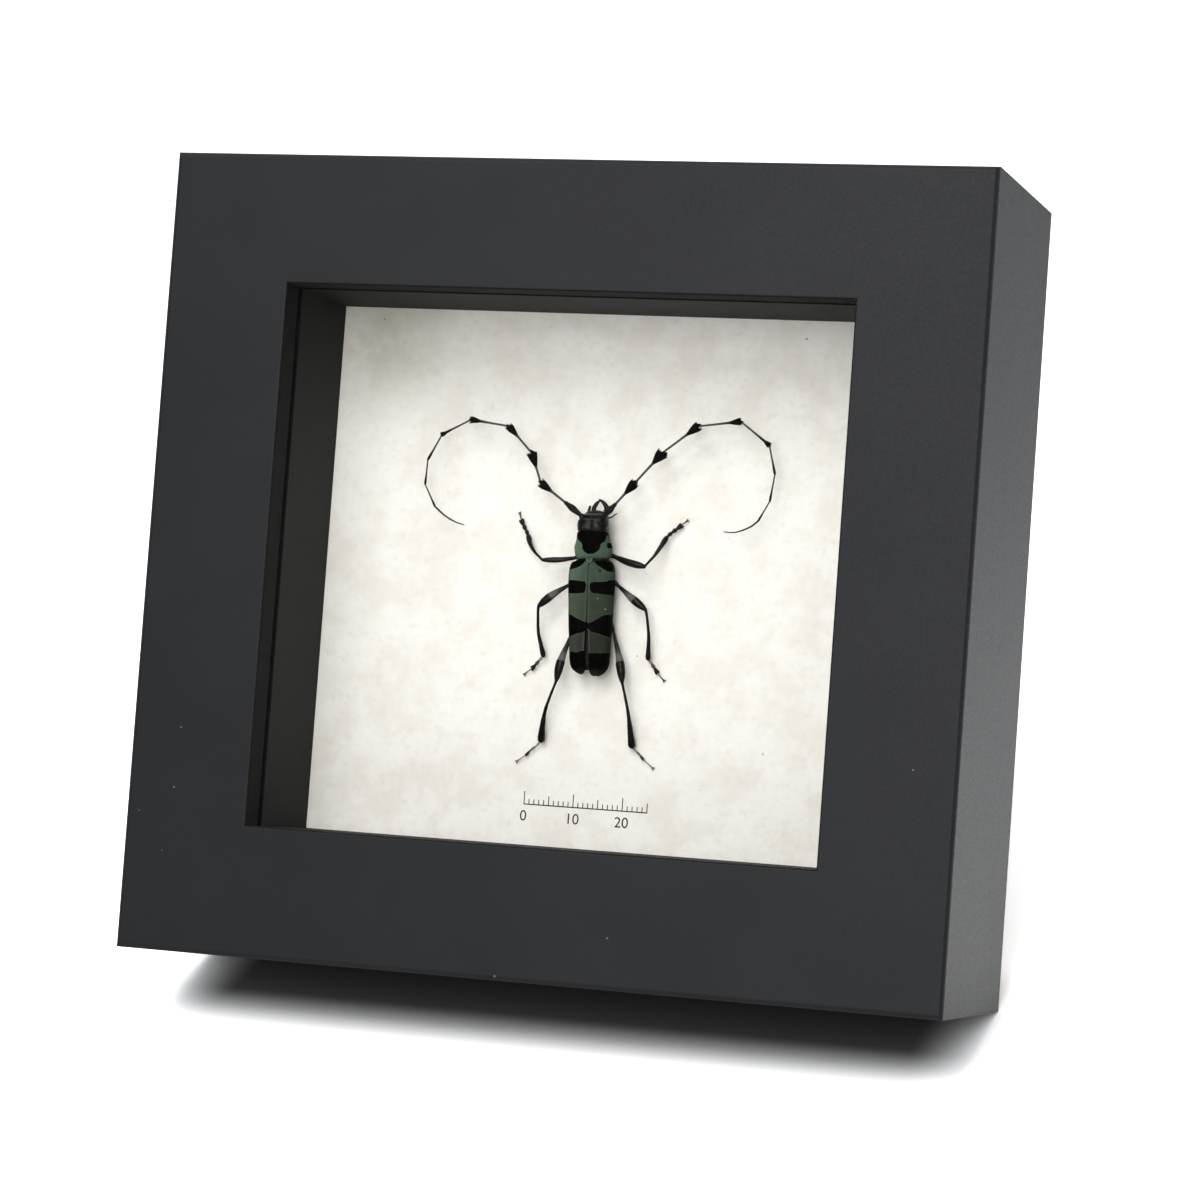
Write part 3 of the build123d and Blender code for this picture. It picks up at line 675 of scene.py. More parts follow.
def bell(*steps):
    """1 where the offset of every (offset, width) pair is 0, falling smoothly around it."""
    return exp(-sum((offset / width) ** 2 for offset, width in steps))


SIDES = {-1: "left", 1: "right"}

# Wing cases. Each row: b, half width, rise and half gap at the suture. The patches are black outlines.

WING_BASE = 3.2
WING_CENTRE = -0.22
WING_ARCH = 2 / 3
WING_COLUMNS = 36
WING_SHELL = 0.22
TIP_DROOP = {-1: 0, 1: 0.35}
WING = [
    (3.55, 3.2, 2.1, 0.07), (3.3, 3.9, 2.45, 0.07), (2.7, 4.3, 2.72, 0.07), (1.5, 4.55, 2.92, 0.08),
    (-1, 4.62, 3, 0.08), (-5, 4.45, 3, 0.1), (-8, 4.36, 2.97, 0.14), (-9.6, 4.28, 2.94, 0.22),
    (-10.6, 4.22, 2.9, 0.36), (-13, 4.08, 2.8, 0.42), (-14.5, 4.02, 2.66, 0.5), (-15.7, 3.95, 2.5, 0.5),
    (-16.5, 3.8, 2.32, 0.5), (-17.1, 3.55, 2.14, 0.5), (-17.6, 3.15, 1.95, 0.52), (-18, 2.6, 1.75, 0.66),
    (-18.25, 2.1, 1.6, 0.86), (-18.35, 1.7, 1.5, 1.15),
]
PATCHES = {
    -1: [
        [(-6, 1.9), (-5, 1.9), (-3.4, 2.05), (-2.6, 2.25), (-2, 2.6), (-1.45, 3.05), (-1.2, 3.6), (-1.4, 5),
         (-6, 5)],
        [(-6, -0.35), (-2.9, -0.5), (-1.85, -0.68), (-1, -0.7), (-0.75, -1), (-0.72, -1.6), (-0.9, -2.57),
         (-2.2, -2.65), (-3.5, -2.7), (-6, -2.6)],
        [(-6, -6.7), (-5, -6.8), (-3.7, -7.1), (-2.7, -7.65), (-1.5, -8.2), (-0.5, -8.6), (0.3, -8.8),
         (0.3, -9.4), (-0.2, -9.5), (-0.75, -10.15), (-1.75, -10.35), (-2.95, -10.75), (-3.8, -11.05),
         (-6, -11.05)],
        [(-6, -14.35), (-4.2, -14.4), (-3.3, -14.25), (-2.3, -14.4), (-1.4, -14.12), (0.3, -14.1),
         (0.3, -20), (-6, -20)],
    ],
    1: [
        [(0.9, 5), (1, 3.45), (1.5, 2.8), (2.2, 2.5), (3, 1.9), (3.8, 1.52), (4.3, 1.75), (6, 1.8), (6, 5)],
        [(0.42, -0.98), (1.4, -0.82), (3, -0.78), (3.6, -0.62), (4.4, -0.28), (6, -0.2), (6, -2.95),
         (3.9, -2.93), (2.8, -2.87), (1.75, -2.7), (0.76, -2.56), (0.32, -1.7)],
        [(-0.6, -8.9), (0.23, -8.72), (1.06, -8.44), (1.87, -8), (2.64, -7.46), (3.36, -7.16), (4.2, -6.92),
         (6, -6.8), (6, -11.1), (4.1, -11.04), (3.6, -10.96), (2.7, -10.56), (1.65, -10.32), (0.8, -10.06),
         (0.25, -9.53), (-0.6, -9.4)],
        [(-0.6, -14.5), (0.56, -14.49), (1.93, -14.55), (3.16, -14.42), (6, -14.2), (6, -20), (-0.6, -20)],
    ],
}


def wing_case(side):
    """Arched shell with a raised suture and a shoulder, marked with its distance from the patches."""
    shape = Shape()
    rings = []
    for b, half_width, rise, gap in spline(WING, 7):
        b -= TIP_DROOP[side] * max(0, (-14 - b) / 4.4) ** 2
        row, marks, rims = [], [], []
        for column in range(WING_COLUMNS + 1):
            turn = pi / 2 * column / WING_COLUMNS
            reach = gap + (half_width - gap) * sin(turn) ** WING_ARCH
            height = rise * cos(turn) ** WING_ARCH
            height += 0.09 * bell((reach - gap, 0.2)) + 0.18 * bell((reach - 3.3, 0.8), (b - 2.5, 0.9))
            a = WING_CENTRE + side * reach
            point = Vector((a, b, WING_BASE + height))
            point += noise.noise_vector(point / 1.6) * 0.035
            row.append(point)
            marks.append(patch_distance(a, b, PATCHES[side]))
            beside_suture = max(0, 1 - (reach - gap) / 0.3) * 0.7
            outer_line = max(0, 1 - (half_width - reach) / 0.12) * 0.3
            rims.append(max(beside_suture, outer_line))
        rings.append(shape.ring(row, marks, rims))
    shape.skin(rings, closed=False)
    return shape


for side, side_name in SIDES.items():
    name, node_name = f"{side_name}_wing_case", f"{side_name}_elytron"
    finished(name, wing_case(side), wing_finish, [node_name], thickness=WING_SHELL)

# Pronotum. Each row, here and for the head and the trunk: b, centre a and h, half width and half height.

PRONOTUM = [
    (9.15, 0.1, 4.7, 2.7, 1.9), (9, 0.1, 4.7, 3, 2.1), (8.6, 0.12, 4.7, 3.12, 2.25),
    (7.8, 0.15, 4.7, 3.25, 2.42), (7, 0.25, 4.7, 3.45, 2.52), (6.4, 0.3, 4.7, 3.58, 2.56),
    (5.6, 0.3, 4.7, 3.62, 2.5), (4.9, 0.28, 4.7, 3.6, 2.4), (4.4, 0.25, 4.7, 3.42, 2.26),
    (4.1, 0.22, 4.7, 3.2, 2.1), (3.9, 0.2, 4.7, 2.8, 1.85),
]
SHIELD_PATCHES = [
    [(-4.2, 9.7), (-4.2, 8.6), (-3, 8.5), (-2.68, 8.1), (-2.2, 7.38), (-1.55, 6.8), (-1.3, 6.45),
     (-1.25, 5.7), (-0.95, 5.15), (-0.4, 4.78), (0.4, 4.66), (1.2, 4.78), (1.75, 5.1), (2.15, 5.5),
     (2.3, 6), (2.45, 6.6), (3, 7), (3.12, 7.6), (3.15, 8.25), (3.3, 8.6), (4.3, 8.7), (4.3, 9.7)],
    [(3.45, 6.9), (3.4, 6.2), (3.6, 5.85), (4.4, 5.9), (4.4, 6.9), (3.8, 7)],
    [(-4.4, 7.1), (-4.4, 6), (-3.25, 6.05), (-3.1, 6.5), (-3.2, 7)],
]


def barrel(stations, power, sides, patches, steps):
    """Closed body of rounded sections, with the distance from the patches as mark on its upper half."""
    shape = Shape()
    rings = []
    for b, centre, height, half_width, half_height in spline(stations, steps):
        row, marks = [], []
        for index in range(sides):
            turn = 2 * pi * index / sides
            across, over = cos(turn), sin(turn)
            a = centre + half_width * (1 if across > 0 else -1) * abs(across) ** (2 / power)
            h = height + half_height * (1 if over > 0 else -1) * abs(over) ** (2 / power)
            row.append((a, b, h))
            below = max(0, height - 0.8 - h)
            marks.append(patch_distance(a, b, patches) + below if patches else 0)
        rings.append(shape.ring(row, marks))
    shape.skin(rings)
    return shape


KNOBS = {-1: Vector((-3.25, 6.2, 5)), 1: Vector((3.85, 6.2, 5))}
shield = barrel(PRONOTUM, 2.3, 72, SHIELD_PATCHES, 6)
for point in shield.points:
    for side, knob in KNOBS.items():
        point.x += side * 0.2 * bell(((point - knob).length, 0.7))
    point.z += 0.06 * noise.noise(point / 0.6) if point.z > 5 else 0
roughen(shield, 1.4, 0.05)
finished("pronotum_shield", shield, shield_finish, ["pronotum"])

# Scutellum, between the pronotum and the wing cases

SCUTELLUM_A = WING_CENTRE + 0.1
SCUTELLUM_B = 3.7
SCUTELLUM_HALF = [(0.25, 2.95), (0.5, 3.3), (0.7, 3.75), (0.75, 4.15)]
outline = [*((-a, b) for a, b in reversed(SCUTELLUM_HALF)), (0, 2.8), *SCUTELLUM_HALF]
plate = Shape()
rings = [plate.ring([(SCUTELLUM_A + a, b, 5.6) for a, b in outline], 1, 1)]
for share in (1, 0.96, 0.8, 0.5, 0.2, 0.05):
    lift = 6 + 0.26 * sqrt(max(0, 1 - share ** 2))
    row = [(SCUTELLUM_A + a * share, SCUTELLUM_B + (b - SCUTELLUM_B) * share, lift) for a, b in outline]
    rings.append(plate.ring(row, [abs(a * share) - 0.12 for a, b in outline], 1))
plate.skin(rings)
finished("scutellum_plate", plate, shield_finish, ["scutellum"])

# Head, with a furrow down the middle, raised antenna sockets and a lip

HEAD = [
    (8.9, 0.08, 4.6, 2.75, 1.85), (9.3, 0.08, 4.6, 2.98, 2.08), (10, 0.08, 4.6, 3.06, 2.15),
    (10.8, 0.08, 4.6, 3.08, 2.12), (11.3, 0.1, 4.55, 3.02, 2.04), (11.65, 0.2, 4.45, 2.8, 1.9),
    (11.95, 0.4, 4.35, 2.5, 1.72), (12.4, 0.5, 4.2, 2.34, 1.56), (12.8, 0.52, 3.95, 2.28, 1.36),
    (13.05, 0.52, 3.75, 2.05, 1.05),
]
FURROW_A = 0.15
BROWS = (-0.95, 1.3)
BROW_B = 10
RIDGES = (11.4, 12.35)
GROOVES = ((11.8, 0.2), (12.75, 0.14))
SOCKETS = {-1: (-1.9, 11.9, 5.4), 1: (2.3, 11.9, 5.4)}
LIP = [
    (-1, 12.7, 4.3, 0.32, 0), (-0.3, 12.9, 4.4, 0.36, 0), (0.5, 12.95, 4.4, 0.38, 0),
    (1.3, 12.9, 4.35, 0.36, 0), (2, 12.65, 4.3, 0.32, 0),
]
skull = barrel(HEAD, 2.5, 72, [], 8)
for index, point in enumerate(skull.points):
    if point.z > 4.4:
        furrow = bell((point.x - FURROW_A, 0.22)) * min(1, max(0, (point.y - 9.2) / 1.2))
        brows = sum(bell((point.x - brow, 0.75), (point.y - BROW_B, 0.7)) for brow in BROWS)
        ridge = sum(bell((point.y - line, 0.17)) for line in RIDGES) * (abs(point.x - 0.4) < 1.8)
        groove = sum(bell((point.y - line, width)) for line, width in GROOVES)
        wrinkle = noise.noise(Vector((point.x / 0.5, point.y / 0.22, point.z)))
        point.z += 0.16 * brows + 0.16 * ridge - 0.26 * furrow - 0.26 * groove + 0.1 * wrinkle
        # Painted highlights: the head's bumps and ridges get a paler mark than its grey down.
        skull.marks[index] = 0.14 + 0.24 * min(1, brows) * (1 - furrow) + 0.3 * ridge
for side, (a, b, h) in SOCKETS.items():
    foot_of_socket = (a - side * 0.5, b - 0.35, h - 0.7, 0.85, 0)
    rim_of_socket = (a + side * 0.1, b + 0.15, h + 0.1, 0.62, 0)
    tube(skull, [foot_of_socket, (a, b, h - 0.1, 0.78, 0), rim_of_socket], 20)
tube(skull, spline(LIP, 5), 16, 0.7)
finished("head_capsule", skull, horn, ["head"])

# Kidney-shaped eyes. Each row: reach from the middle of the head, b, h and radius.

EYE_CENTRE = 0.1
EYE = [
    (2.2, 9.75, 5.75, 0.3), (2.48, 9.95, 5.35, 0.52), (2.58, 10.4, 4.9, 0.62), (2.58, 10.95, 4.7, 0.56),
    (2.42, 11.35, 4.9, 0.42), (2.2, 11.5, 5.2, 0.28),
]
eyes = Shape()
for side in SIDES:
    run = [(EYE_CENTRE + side * reach, b, h, radius, 0) for reach, b, h, radius in EYE]
    tube(eyes, spline(run, 8), 28)
finished("compound_eyes", eyes, bright, ["eyes"])

# Jaws, toothed on the inside. Each station: a, b, h and radius.

JAWS = {
    -1: [
        (-0.2, 12.5, 3.4, 0.5), (-0.38, 13.3, 3.25, 0.48), (-0.3, 13.95, 3.2, 0.45), (0, 14.5, 3.2, 0.4),
        (0.38, 14.95, 3.2, 0.31), (0.72, 15.25, 3.2, 0.18), (0.9, 15.42, 3.2, 0.06),
    ],
    1: [
        (2.05, 12.5, 3.4, 0.54), (2.25, 13.3, 3.25, 0.54), (2.18, 14, 3.25, 0.5), (1.86, 14.6, 3.3, 0.43),
        (1.38, 15.1, 3.35, 0.32), (0.86, 15.42, 3.4, 0.18), (0.58, 15.5, 3.4, 0.06),
    ],
}
TOOTH = [(0.2, -0.2, 0.3), (0.55, 0, 0.16), (0.72, 0.16, 0.04)]
for side, run in JAWS.items():
    jaw = Shape()
    tube(jaw, spline([(*station, 0) for station in run], 8), 18, 0.8)
    a, b, h, _ = run[1]
    tube(jaw, [(a - side * out, b + ahead, h, radius, 0) for out, ahead, radius in TOOTH], 10)
    roughen(jaw, 0.5, 0.04)
    finished(f"{SIDES[side]}_jaw", jaw, horn, [f"{SIDES[side]}_mandible"])

# Palps: a radius, then the joints

PALPS = [
    (0.36, [(-1.5, 12.3, 3), (-1.5, 13.1, 2.95), (-1.36, 13.75, 2.9), (-1.24, 14.2, 2.9)]),
    (0.16, [(2.5, 11.95, 3), (3.2, 12.11, 2.9), (3.7, 12.55, 2.8), (4.15, 12.85, 2.7)]),
]
palps = Shape()
for width, run in PALPS:
    for index, (start, end) in enumerate(zip(run, run[1:])):
        start, end = Vector(start), Vector(end)
        slim = width * (1 - 0.14 * index)
        middle = (start + end) / 2
        tube(palps, [(*start, slim * 0.75, 0.1), (*middle, slim * 1.1, 0.1), (*end, slim * 0.9, 0.1)])
finished("mouth_palps", palps, horn, ["palps"])

# Antennae. For each side: the joints, the further points of the end piece and the radii of the tufts.

ANTENNAE = {
    -1: (
        [(-5, 14.4, 5.5), (-10.4, 18.5, 6), (-12.4, 24.3, 6), (-17.3, 29.6, 6), (-25.3, 31, 5.5),
         (-31.4, 28.2, 5), (-34.4, 23.3, 4.5), (-35, 18.5, 4), (-33, 14.2, 3.5)],
        [(-31.4, 12.75, 3.3), (-30, 11.8, 3.1), (-28.6, 11.1, 2.8), (-27.2, 10.7, 2.5)],
        [0.95, 1.05, 0.85, 0.66, 0.42],
    ),
    1: (
        [(4.3, 14, 5.5), (8.6, 18.4, 6), (14.1, 24.3, 6), (21, 29.3, 6), (29.3, 30.2, 5.5), (34.9, 25.7, 5),
         (36, 20.2, 4.5), (35, 15.1, 4), (32.7, 11.4, 3.5)],
        [(31.4, 10.45, 3.2), (30.2, 9.9, 3), (28.8, 9.45, 2.7), (27.4, 9.25, 2.4), (25.5, 9.4, 2)],
        [1.05, 1.25, 1, 0.74, 0.5],
    ),
}
# Along the club, the bead, a shaft and a tuft's core: place and radius, and the down on the shaft
CLUB = [(0, 0.34), (0.15, 0.4), (0.35, 0.52), (0.6, 0.66), (0.78, 0.62), (0.92, 0.5), (1, 0.42)]
BEAD = [(0, 0.34), (0.28, 0.46), (0.56, 0.34)]
SHAFT = [(0.15, 0.18, 1), (0.45, 0.19, 1), (0.7, 0.23, 0.4), (0.88, 0.28, 0)]
TUFT_LENGTHS = [3, 3, 2.9, 2.6, 1.8]
TUFT_CORE = [(0, 0.2), (0.2, 0.38), (0.5, 0.68), (0.75, 0.88), (0.92, 0.92), (1, 0.76), (0.98, 0.3)]
TUFT_HAIRS = 26
TUFT_CLUMPS = 11
TUFT_FLAT = 0.8
HAIR_WIDTH = 0.04


def tuft(hairs, here, way, wide, length, dice):
    """Cone of short stiff hairs that opens towards the joint, with a ragged end."""
    side = way.cross(OUT).normalized()
    over = side.cross(way)
    root = here - way * length
    core = [(*(root + way * (length * out)), max(0.24, wide * share), 0) for out, share in TUFT_CORE]
    tube(hairs, core, 20, TUFT_FLAT, domed=False)
    for clump in range(TUFT_CLUMPS):
        turn = 2 * pi * (clump + dice.uniform(-0.3, 0.3)) / TUFT_CLUMPS
        spread = side * cos(turn) + over * (TUFT_FLAT * sin(turn))
        meet = here + spread * (wide * dice.uniform(0.8, 1.05)) + way * dice.uniform(-0.1, 0.4)
        for _ in range(TUFT_HAIRS):
            out = dice.uniform(0.15, 0.9)
            aside = turn + dice.uniform(-0.5, 0.5)
            lean = side * cos(aside) + over * (TUFT_FLAT * sin(aside))
            foot = root + way * (length * out) + lean * (wide * (0.2 + 0.66 * out))
            jitter = Vector((dice.uniform(-1, 1), dice.uniform(-1, 1), dice.uniform(-1, 1))) * 0.16
            hair(hairs, foot, meet + jitter, HAIR_WIDTH)


def antenna(socket, joints, end, tufts, dice):
    """Club, bead and long joints, thinner from one to the next, the first of them with tufts."""
    shape, hairs = Shape(), Shape()
    start, last = Vector(socket), Vector(joints[0])
    tube(shape, spline([(*start.lerp(last, share), radius, 0.15) for share, radius in CLUB], 5), 20)
    way = (last - start).normalized()
    tube(shape, [(*(last + way * out), radius, 0) for out, radius in BEAD], 14)
    for index, joint in enumerate(joints[1:]):
        here = Vector(joint)
        way = (here - last).normalized()
        slim = 1.32 - 0.075 * index
        run = [(*last.lerp(here, share), radius * slim, down) for share, radius, down in SHAFT]
        near, far = (*(last + way * 0.1), 0.17 * slim, 0.5), (*(here - way * 0.08), 0.26 * slim, 0)
        tube(shape, spline([near, *run, far], 4))
        if index < len(tufts):
            tuft(hairs, here, way, tufts[index], TUFT_LENGTHS[index], dice)
        last = here
    tail = []
    points = spline([joints[-1], *end], 6)
    last_index = len(points) - 1
    for index, point in enumerate(points):
        share = index / last_index
        knot = 0.04 * (index == last_index // 2)
        tail.append((*point, 0.2 - 0.1 * share + knot, 0.6 - 0.5 * share))
    tube(shape, tail)
    return shape, hairs


dice = random.Random(11)
for side, (joints, end, tufts) in ANTENNAE.items():
    side_name = SIDES[side]
    a, b, h = SOCKETS[side]
    stalk, hairs = antenna((a, b + 0.1, h), joints, end, tufts, dice)
    finished(f"{side_name}_antenna_joints", stalk, antenna_finish, [f"{side_name}_antenna"])
    finished(f"{side_name}_antenna_tufts", hairs, hair_finish, [f"{side_name}_antenna"])

# Body below the wing cases, ringed by its segments

TRUNK = [
    (4.3, 0, 4.1, 2.6, 1.3), (3.6, -0.1, 3.7, 3.4, 1.6), (1.5, -0.2, 3.5, 4, 1.8),
    (-2, -0.2, 3.4, 4.05, 1.85), (-6, -0.2, 3.3, 3.95, 1.8), (-10, -0.2, 3.3, 3.75, 1.7),
    (-13.5, -0.2, 3.3, 3.4, 1.55), (-15.7, -0.2, 3.4, 2.7, 1.3), (-16.8, -0.2, 3.5, 1.9, 1),
    (-17.5, -0.2, 3.6, 1, 0.6),
]
SEAMS = (-5.2, -8.4, -11.2, -13.8, -16)
trunk = barrel(TRUNK, 2.2, 56, [], 9)
trunk.marks = [0.05] * len(trunk.points)
for point in trunk.points:
    ringed = max(bell((point.y - seam, 0.16)) for seam in SEAMS)
    centre = Vector((-0.2, point.y, 3.4))
    point += (centre - point).normalized() * (0.16 * ringed)
roughen(trunk, 1.2, 0.05)
finished("trunk", trunk, foot_finish, ["thorax_and_abdomen"])

# Legs. Each: root, hip, mid thigh, knee, mid shin and ankle, then the joints of the foot to the claws.

LEGS = {
    "left_front": [
        (-2.2, 5.2, 3.3), (-4, 4.25, 2.7), (-7, 3.8, 3.5), (-10.3, 3.72, 4), (-12.9, 6.1, 2.8),
        (-14.15, 8.6, 1.5), (-14.7, 9.6, 1.2), (-15.3, 10.6, 1), (-15.85, 11.6, 0.8), (-16.2, 12.2, 0.7),
        (-16.4, 13.1, 0.5),
    ],
    "right_front": [
        (2.2, 5.2, 3.3), (4.2, 4.4, 2.7), (7.2, 3.3, 3.7), (10.4, 2.5, 4), (12.3, 5.05, 2.9), (14, 8.4, 1.5),
        (14.8, 9.25, 1.2), (15.65, 9.9, 1), (16.55, 10.65, 0.8), (17.1, 11.2, 0.7), (17.7, 11.65, 0.5),
    ],
    "left_middle": [
        (-3.2, 0.1, 2.3), (-4.7, -0.7, 2.5), (-8.2, -3.1, 3.8), (-10.8, -5.3, 4), (-11.1, -9.6, 3),
        (-10.35, -14.7, 1.5), (-11.15, -15.45, 1.1), (-12, -16.4, 1), (-12.75, -17.15, 0.8),
        (-13.45, -17.4, 0.7), (-14.45, -18.3, 0.4),
    ],
    "right_middle": [
        (3.2, 0.1, 2.3), (4.6, -0.9, 2.5), (7.8, -3.4, 3.8), (10.9, -5.8, 4), (11.3, -9.6, 3),
        (10.9, -15.1, 1.5), (11.4, -15.85, 1.1), (12, -16.7, 1), (12.55, -17.6, 0.8), (13, -18.2, 0.7),
        (13.85, -19.15, 0.4),
    ],
    "left_hind": [
        (-2.9, -7.2, 2.2), (-4, -9.6, 2.5), (-5.9, -15.6, 3.8), (-6.7, -19.6, 4), (-9.2, -25.4, 2.8),
        (-10.4, -31.1, 1.3), (-11.25, -32.1, 1), (-12.5, -32.95, 0.8), (-13.55, -34, 0.7),
        (-14.55, -34.6, 0.6), (-15.5, -35.25, 0.4),
    ],
    "right_hind": [
        (2.9, -7.2, 2.2), (4, -9.6, 2.5), (5.9, -15.6, 3.8), (6.6, -19.8, 4), (7.6, -25.6, 2.8),
        (8.05, -31.9, 1.3), (8.75, -32.8, 1), (9.4, -33.4, 0.8), (10.2, -34.35, 0.7), (11, -34.9, 0.6),
        (12.1, -36, 0.4),
    ],
}
STOUT = {"right_front": 1.3}
# Along the thigh: share, radius and down. Along the shin: share and radius.
THIGHS = {
    "front": [(0, 0.34, 0), (0.2, 0.42, 0.06), (0.45, 0.52, 0.2), (0.7, 0.54, 0.16), (0.88, 0.46, 0.05),
              (1, 0.3, 0)],
    "middle": [(0, 0.28, 0), (0.2, 0.4, 0.2), (0.42, 0.58, 0.55), (0.55, 0.72, 1), (0.62, 0.78, 0.6),
               (0.66, 0.8, 0), (0.8, 0.76, 0), (0.92, 0.56, 0), (1, 0.34, 0)],
    "hind": [(0, 0.26, 0), (0.2, 0.36, 0.1), (0.42, 0.52, 0.35), (0.56, 0.7, 0.9), (0.62, 0.78, 0.6),
             (0.66, 0.86, 0), (0.8, 0.84, 0), (0.92, 0.62, 0), (1, 0.36, 0)],
}
SHINS = {
    "front": [(0, 0.27), (0.15, 0.24), (0.4, 0.31), (0.7, 0.43), (0.88, 0.53), (0.97, 0.46), (1, 0.33)],
    "middle": [(0, 0.3), (0.15, 0.27), (0.5, 0.32), (0.8, 0.42), (0.95, 0.52), (1, 0.4)],
    "hind": [(0, 0.3), (0.12, 0.25), (0.4, 0.3), (0.6, 0.4), (0.8, 0.55), (0.94, 0.68), (1, 0.6)],
}
# Number, reach along the shin and bulge of the bristles at its end
BRUSHES = {"front": (70, 0.14, 0.12), "middle": (90, 0.14, 0.12), "hind": (460, 0.36, 0.26)}
# Radii of the three lobed foot joints, their down, and the down of the last joint
LOBES = {
    "front": ((0.42, 0.46, 0.5), (0.1, 0.05, 0.05), 0.1),
    "middle": ((0.28, 0.36, 0.44), (0.8, 0.35, 0.1), 0.4),
    "hind": ((0.2, 0.26, 0.28), (0.7, 0.6, 0.3), 0.9),
}
LOBE = ((-0.05, 0.4), (0.25, 0.6), (0.6, 0.92), (0.85, 1), (1, 0.75), (1.08, 0.4))
# On the last lobe: ahead, aside and radius. On a claw: ahead, aside, up and radius.
PAD = [(-0.35, 0.1, 0.5), (0, 0.45, 0.62), (0.35, 0.62, 0.55), (0.6, 0.66, 0.3)]
CLAW = [(-0.05, 0.05, 0, 0.11), (0.14, 0.18, 0.06, 0.1), (0.3, 0.24, 0, 0.07), (0.4, 0.22, -0.14, 0.03)]
LAST_JOINT = [(0, 0.1), (0.35, 0.1), (0.8, 0.14), (1, 0.17)]
LAST_JOINT_RISE = 0.12


def at_share(points, share):
    """Point at a share of the way along a smooth run through a few points."""
    run = [Vector(point) for point in spline(points, 12)]
    lengths = [(end - start).length for start, end in zip(run, run[1:])]
    left = share * sum(lengths)
    for start, end, length in zip(run, run[1:], lengths):
        if left <= length:
            return start.lerp(end, left / length)
        left -= length
    return run[-1]


def radius_at(stations, share):
    """Radius at a share of the way, by straight runs between the stations."""
    for (start, near), (end, far) in zip(stations, stations[1:]):
        if share <= end:
            return near + (far - near) * (share - start) / (end - start)
    return stations[-1][1]


def bristles(hairs, lower, pair, dice):
    """Brush of stiff hairs at the end of the shin."""
    count, reach, bulge = BRUSHES[pair]
    for _ in range(count):
        share = 1 - reach * dice.random() ** 1.3
        here = at_share(lower, share)
        way = (at_share(lower, min(1, share + 0.03)) - at_share(lower, share - 0.03)).normalized()
        side = way.orthogonal().normalized()
        turn = dice.uniform(0, 2 * pi)
        spread = side * cos(turn) + way.cross(side) * sin(turn)
        base = here + spread * (radius_at(SHINS[pair], share) * 0.85)
        left = (lower[-1] - here).length
        out = spread * (dice.uniform(0.4, 1) * bulge)
        length = min(dice.uniform(0.35, 0.7), left + dice.uniform(0.05, 0.25))
        hair(hairs, base, base + out + way * length, HAIR_WIDTH)


def foot(toes, points, pair):
    """Lobed joints, a slim last joint and two hooked claws."""
    radii, downs, last_down = LOBES[pair]
    for start, end, radius, down in zip(points, points[1:4], radii, downs):
        run = [(*start.lerp(end, out), radius * wide, down) for out, wide in LOBE]
        tube(toes, spline(run, 3), 14, 0.55)
    lobe, claw_root, claw_tip = points[3:]
    way = (claw_root - lobe).normalized()
    side = way.cross(OUT).normalized()
    for sign in (-1, 1):
        wide = radii[2]
        run = [
            (*(lobe + way * (wide * on) + side * (sign * wide * out)), wide * radius, downs[2])
            for on, out, radius in PAD
        ]
        tube(toes, spline(run, 4), 12, 0.6)
    slim = lobe.lerp(claw_root, 0.2)
    run = [
        (*(slim.lerp(claw_tip, share) + OUT * (LAST_JOINT_RISE * sin(pi * share))), radius, last_down)
        for share, radius in LAST_JOINT
    ]
    tube(toes, spline(run, 4), 10)
    way = (claw_tip - claw_root).normalized()
    side = way.cross(OUT).normalized()
    for sign in (-1, 1):
        run = [
            (*(claw_tip + way * on + side * (sign * out) + OUT * up), radius, 0)
            for on, out, up, radius in CLAW
        ]
        tube(toes, spline(run, 4), 8)


def leg(pair, points, stout, dice):
    """Hip, thigh, knee and shin, then the foot, then the bristles."""
    root, hip, thigh, knee, shin, ankle, *joints = (Vector(point) for point in points)
    limb, toes, hairs = Shape(), Shape(), Shape()
    tube(limb, spline([(*root, 0.42, 0), (*root.lerp(hip, 0.5), 0.52, 0), (*hip, 0.36, 0)], 6), 18)
    upper, lower = [hip, thigh, knee], [knee, shin, ankle]
    run = [(*at_share(upper, share), radius * stout, down) for share, radius, down in THIGHS[pair]]
    tube(limb, spline(run, 6), 24, 0.85)
    tube(limb, [(*at_share(upper, 0.98), 0.26, 0), (*knee, 0.32, 0), (*knee.lerp(shin, 0.05), 0.26, 0)], 14)
    run = [(*at_share(lower, share), radius, 0.1) for share, radius in SHINS[pair]]
    tube(limb, spline(run, 6), 20, 0.9)
    roughen(limb, 0.7, 0.03)
    bristles(hairs, lower, pair, dice)
    foot(toes, [ankle, *joints], pair)
    return limb, toes, hairs


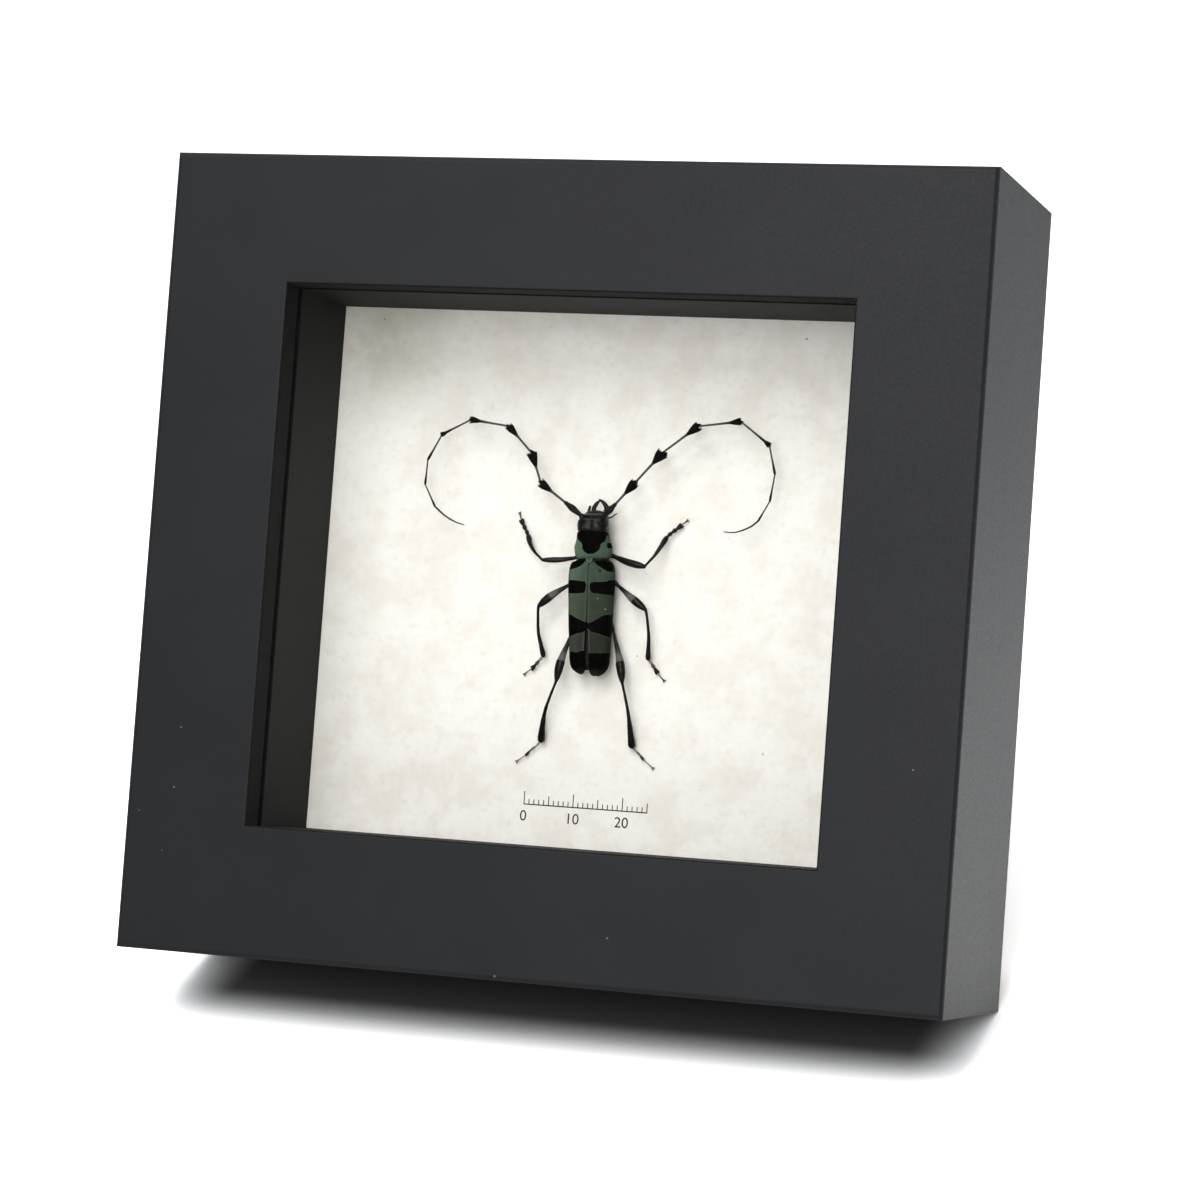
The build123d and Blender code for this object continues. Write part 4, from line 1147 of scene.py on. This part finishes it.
for leg_name, points in LEGS.items():
    pair = leg_name.split("_")[1]
    limb, toes, hairs = leg(pair, points, STOUT.get(leg_name, 1), dice)
    finished(f"{leg_name}_limb", limb, horn, [f"{leg_name}_leg"])
    finished(f"{leg_name}_foot", toes, foot_finish, [f"{leg_name}_leg"])
    finished(f"{leg_name}_bristles", hairs, hair_finish, [f"{leg_name}_leg"])

# Printed scale bar: a line, a tick each millimetre and plain numbers

INK_THICK = 0.03
BAR_LEFT = -11
BAR_Z = -44.2
BAR_LENGTH = 25
BAR_WIDTH = 0.22
TICK_HALF = 0.09
TEN_TICK, FIVE_TICK, ONE_TICK = 2.6, 1.9, 1.1
NUMBER_SIZE = 2.9
NUMBER_DROP = 3.1
bar = Shape()


def block(shape, x0, x1, z0, z1):
    corners = ((x0, z0), (x1, z0), (x1, z1), (x0, z1))
    shape.skin([shape.ring([(*corner, level) for corner in corners]) for level in (0, INK_THICK)])


block(bar, BAR_LEFT - 0.1, BAR_LEFT + BAR_LENGTH + 0.1, BAR_Z, BAR_Z + BAR_WIDTH)
for step in range(BAR_LENGTH + 1):
    tall = TEN_TICK if step % 10 == 0 else FIVE_TICK if step % 5 == 0 else ONE_TICK
    tick = BAR_LEFT + step
    block(bar, tick - TICK_HALF, tick + TICK_HALF, BAR_Z + 0.2, BAR_Z + tall)
bar_piece = finished("scale_bar", bar, ink, [], place=CARD)
bar_piece.data.shade_flat()

for number in (0, 10, 20):
    letters = bpy.data.curves.new("number", "FONT")
    letters.body = str(number)
    letters.size = NUMBER_SIZE
    letters.extrude = INK_THICK / 2
    letters.align_x = "CENTER"
    text = bpy.data.objects.new("number", letters)
    scene.collection.objects.link(text)
    bpy.context.view_layer.update()
    digits = bpy.data.meshes.new_from_object(text)
    bpy.data.objects.remove(text)
    digits.transform(CARD @ Matrix.Translation((BAR_LEFT + number, BAR_Z - NUMBER_DROP, INK_THICK / 2)))
    digits.materials.clear()
    digits.materials.append(ink.material)
    figure = bpy.data.objects.new(f"scale_number_{number}", digits)
    scene.collection.objects.link(figure)
    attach(figure, "case")
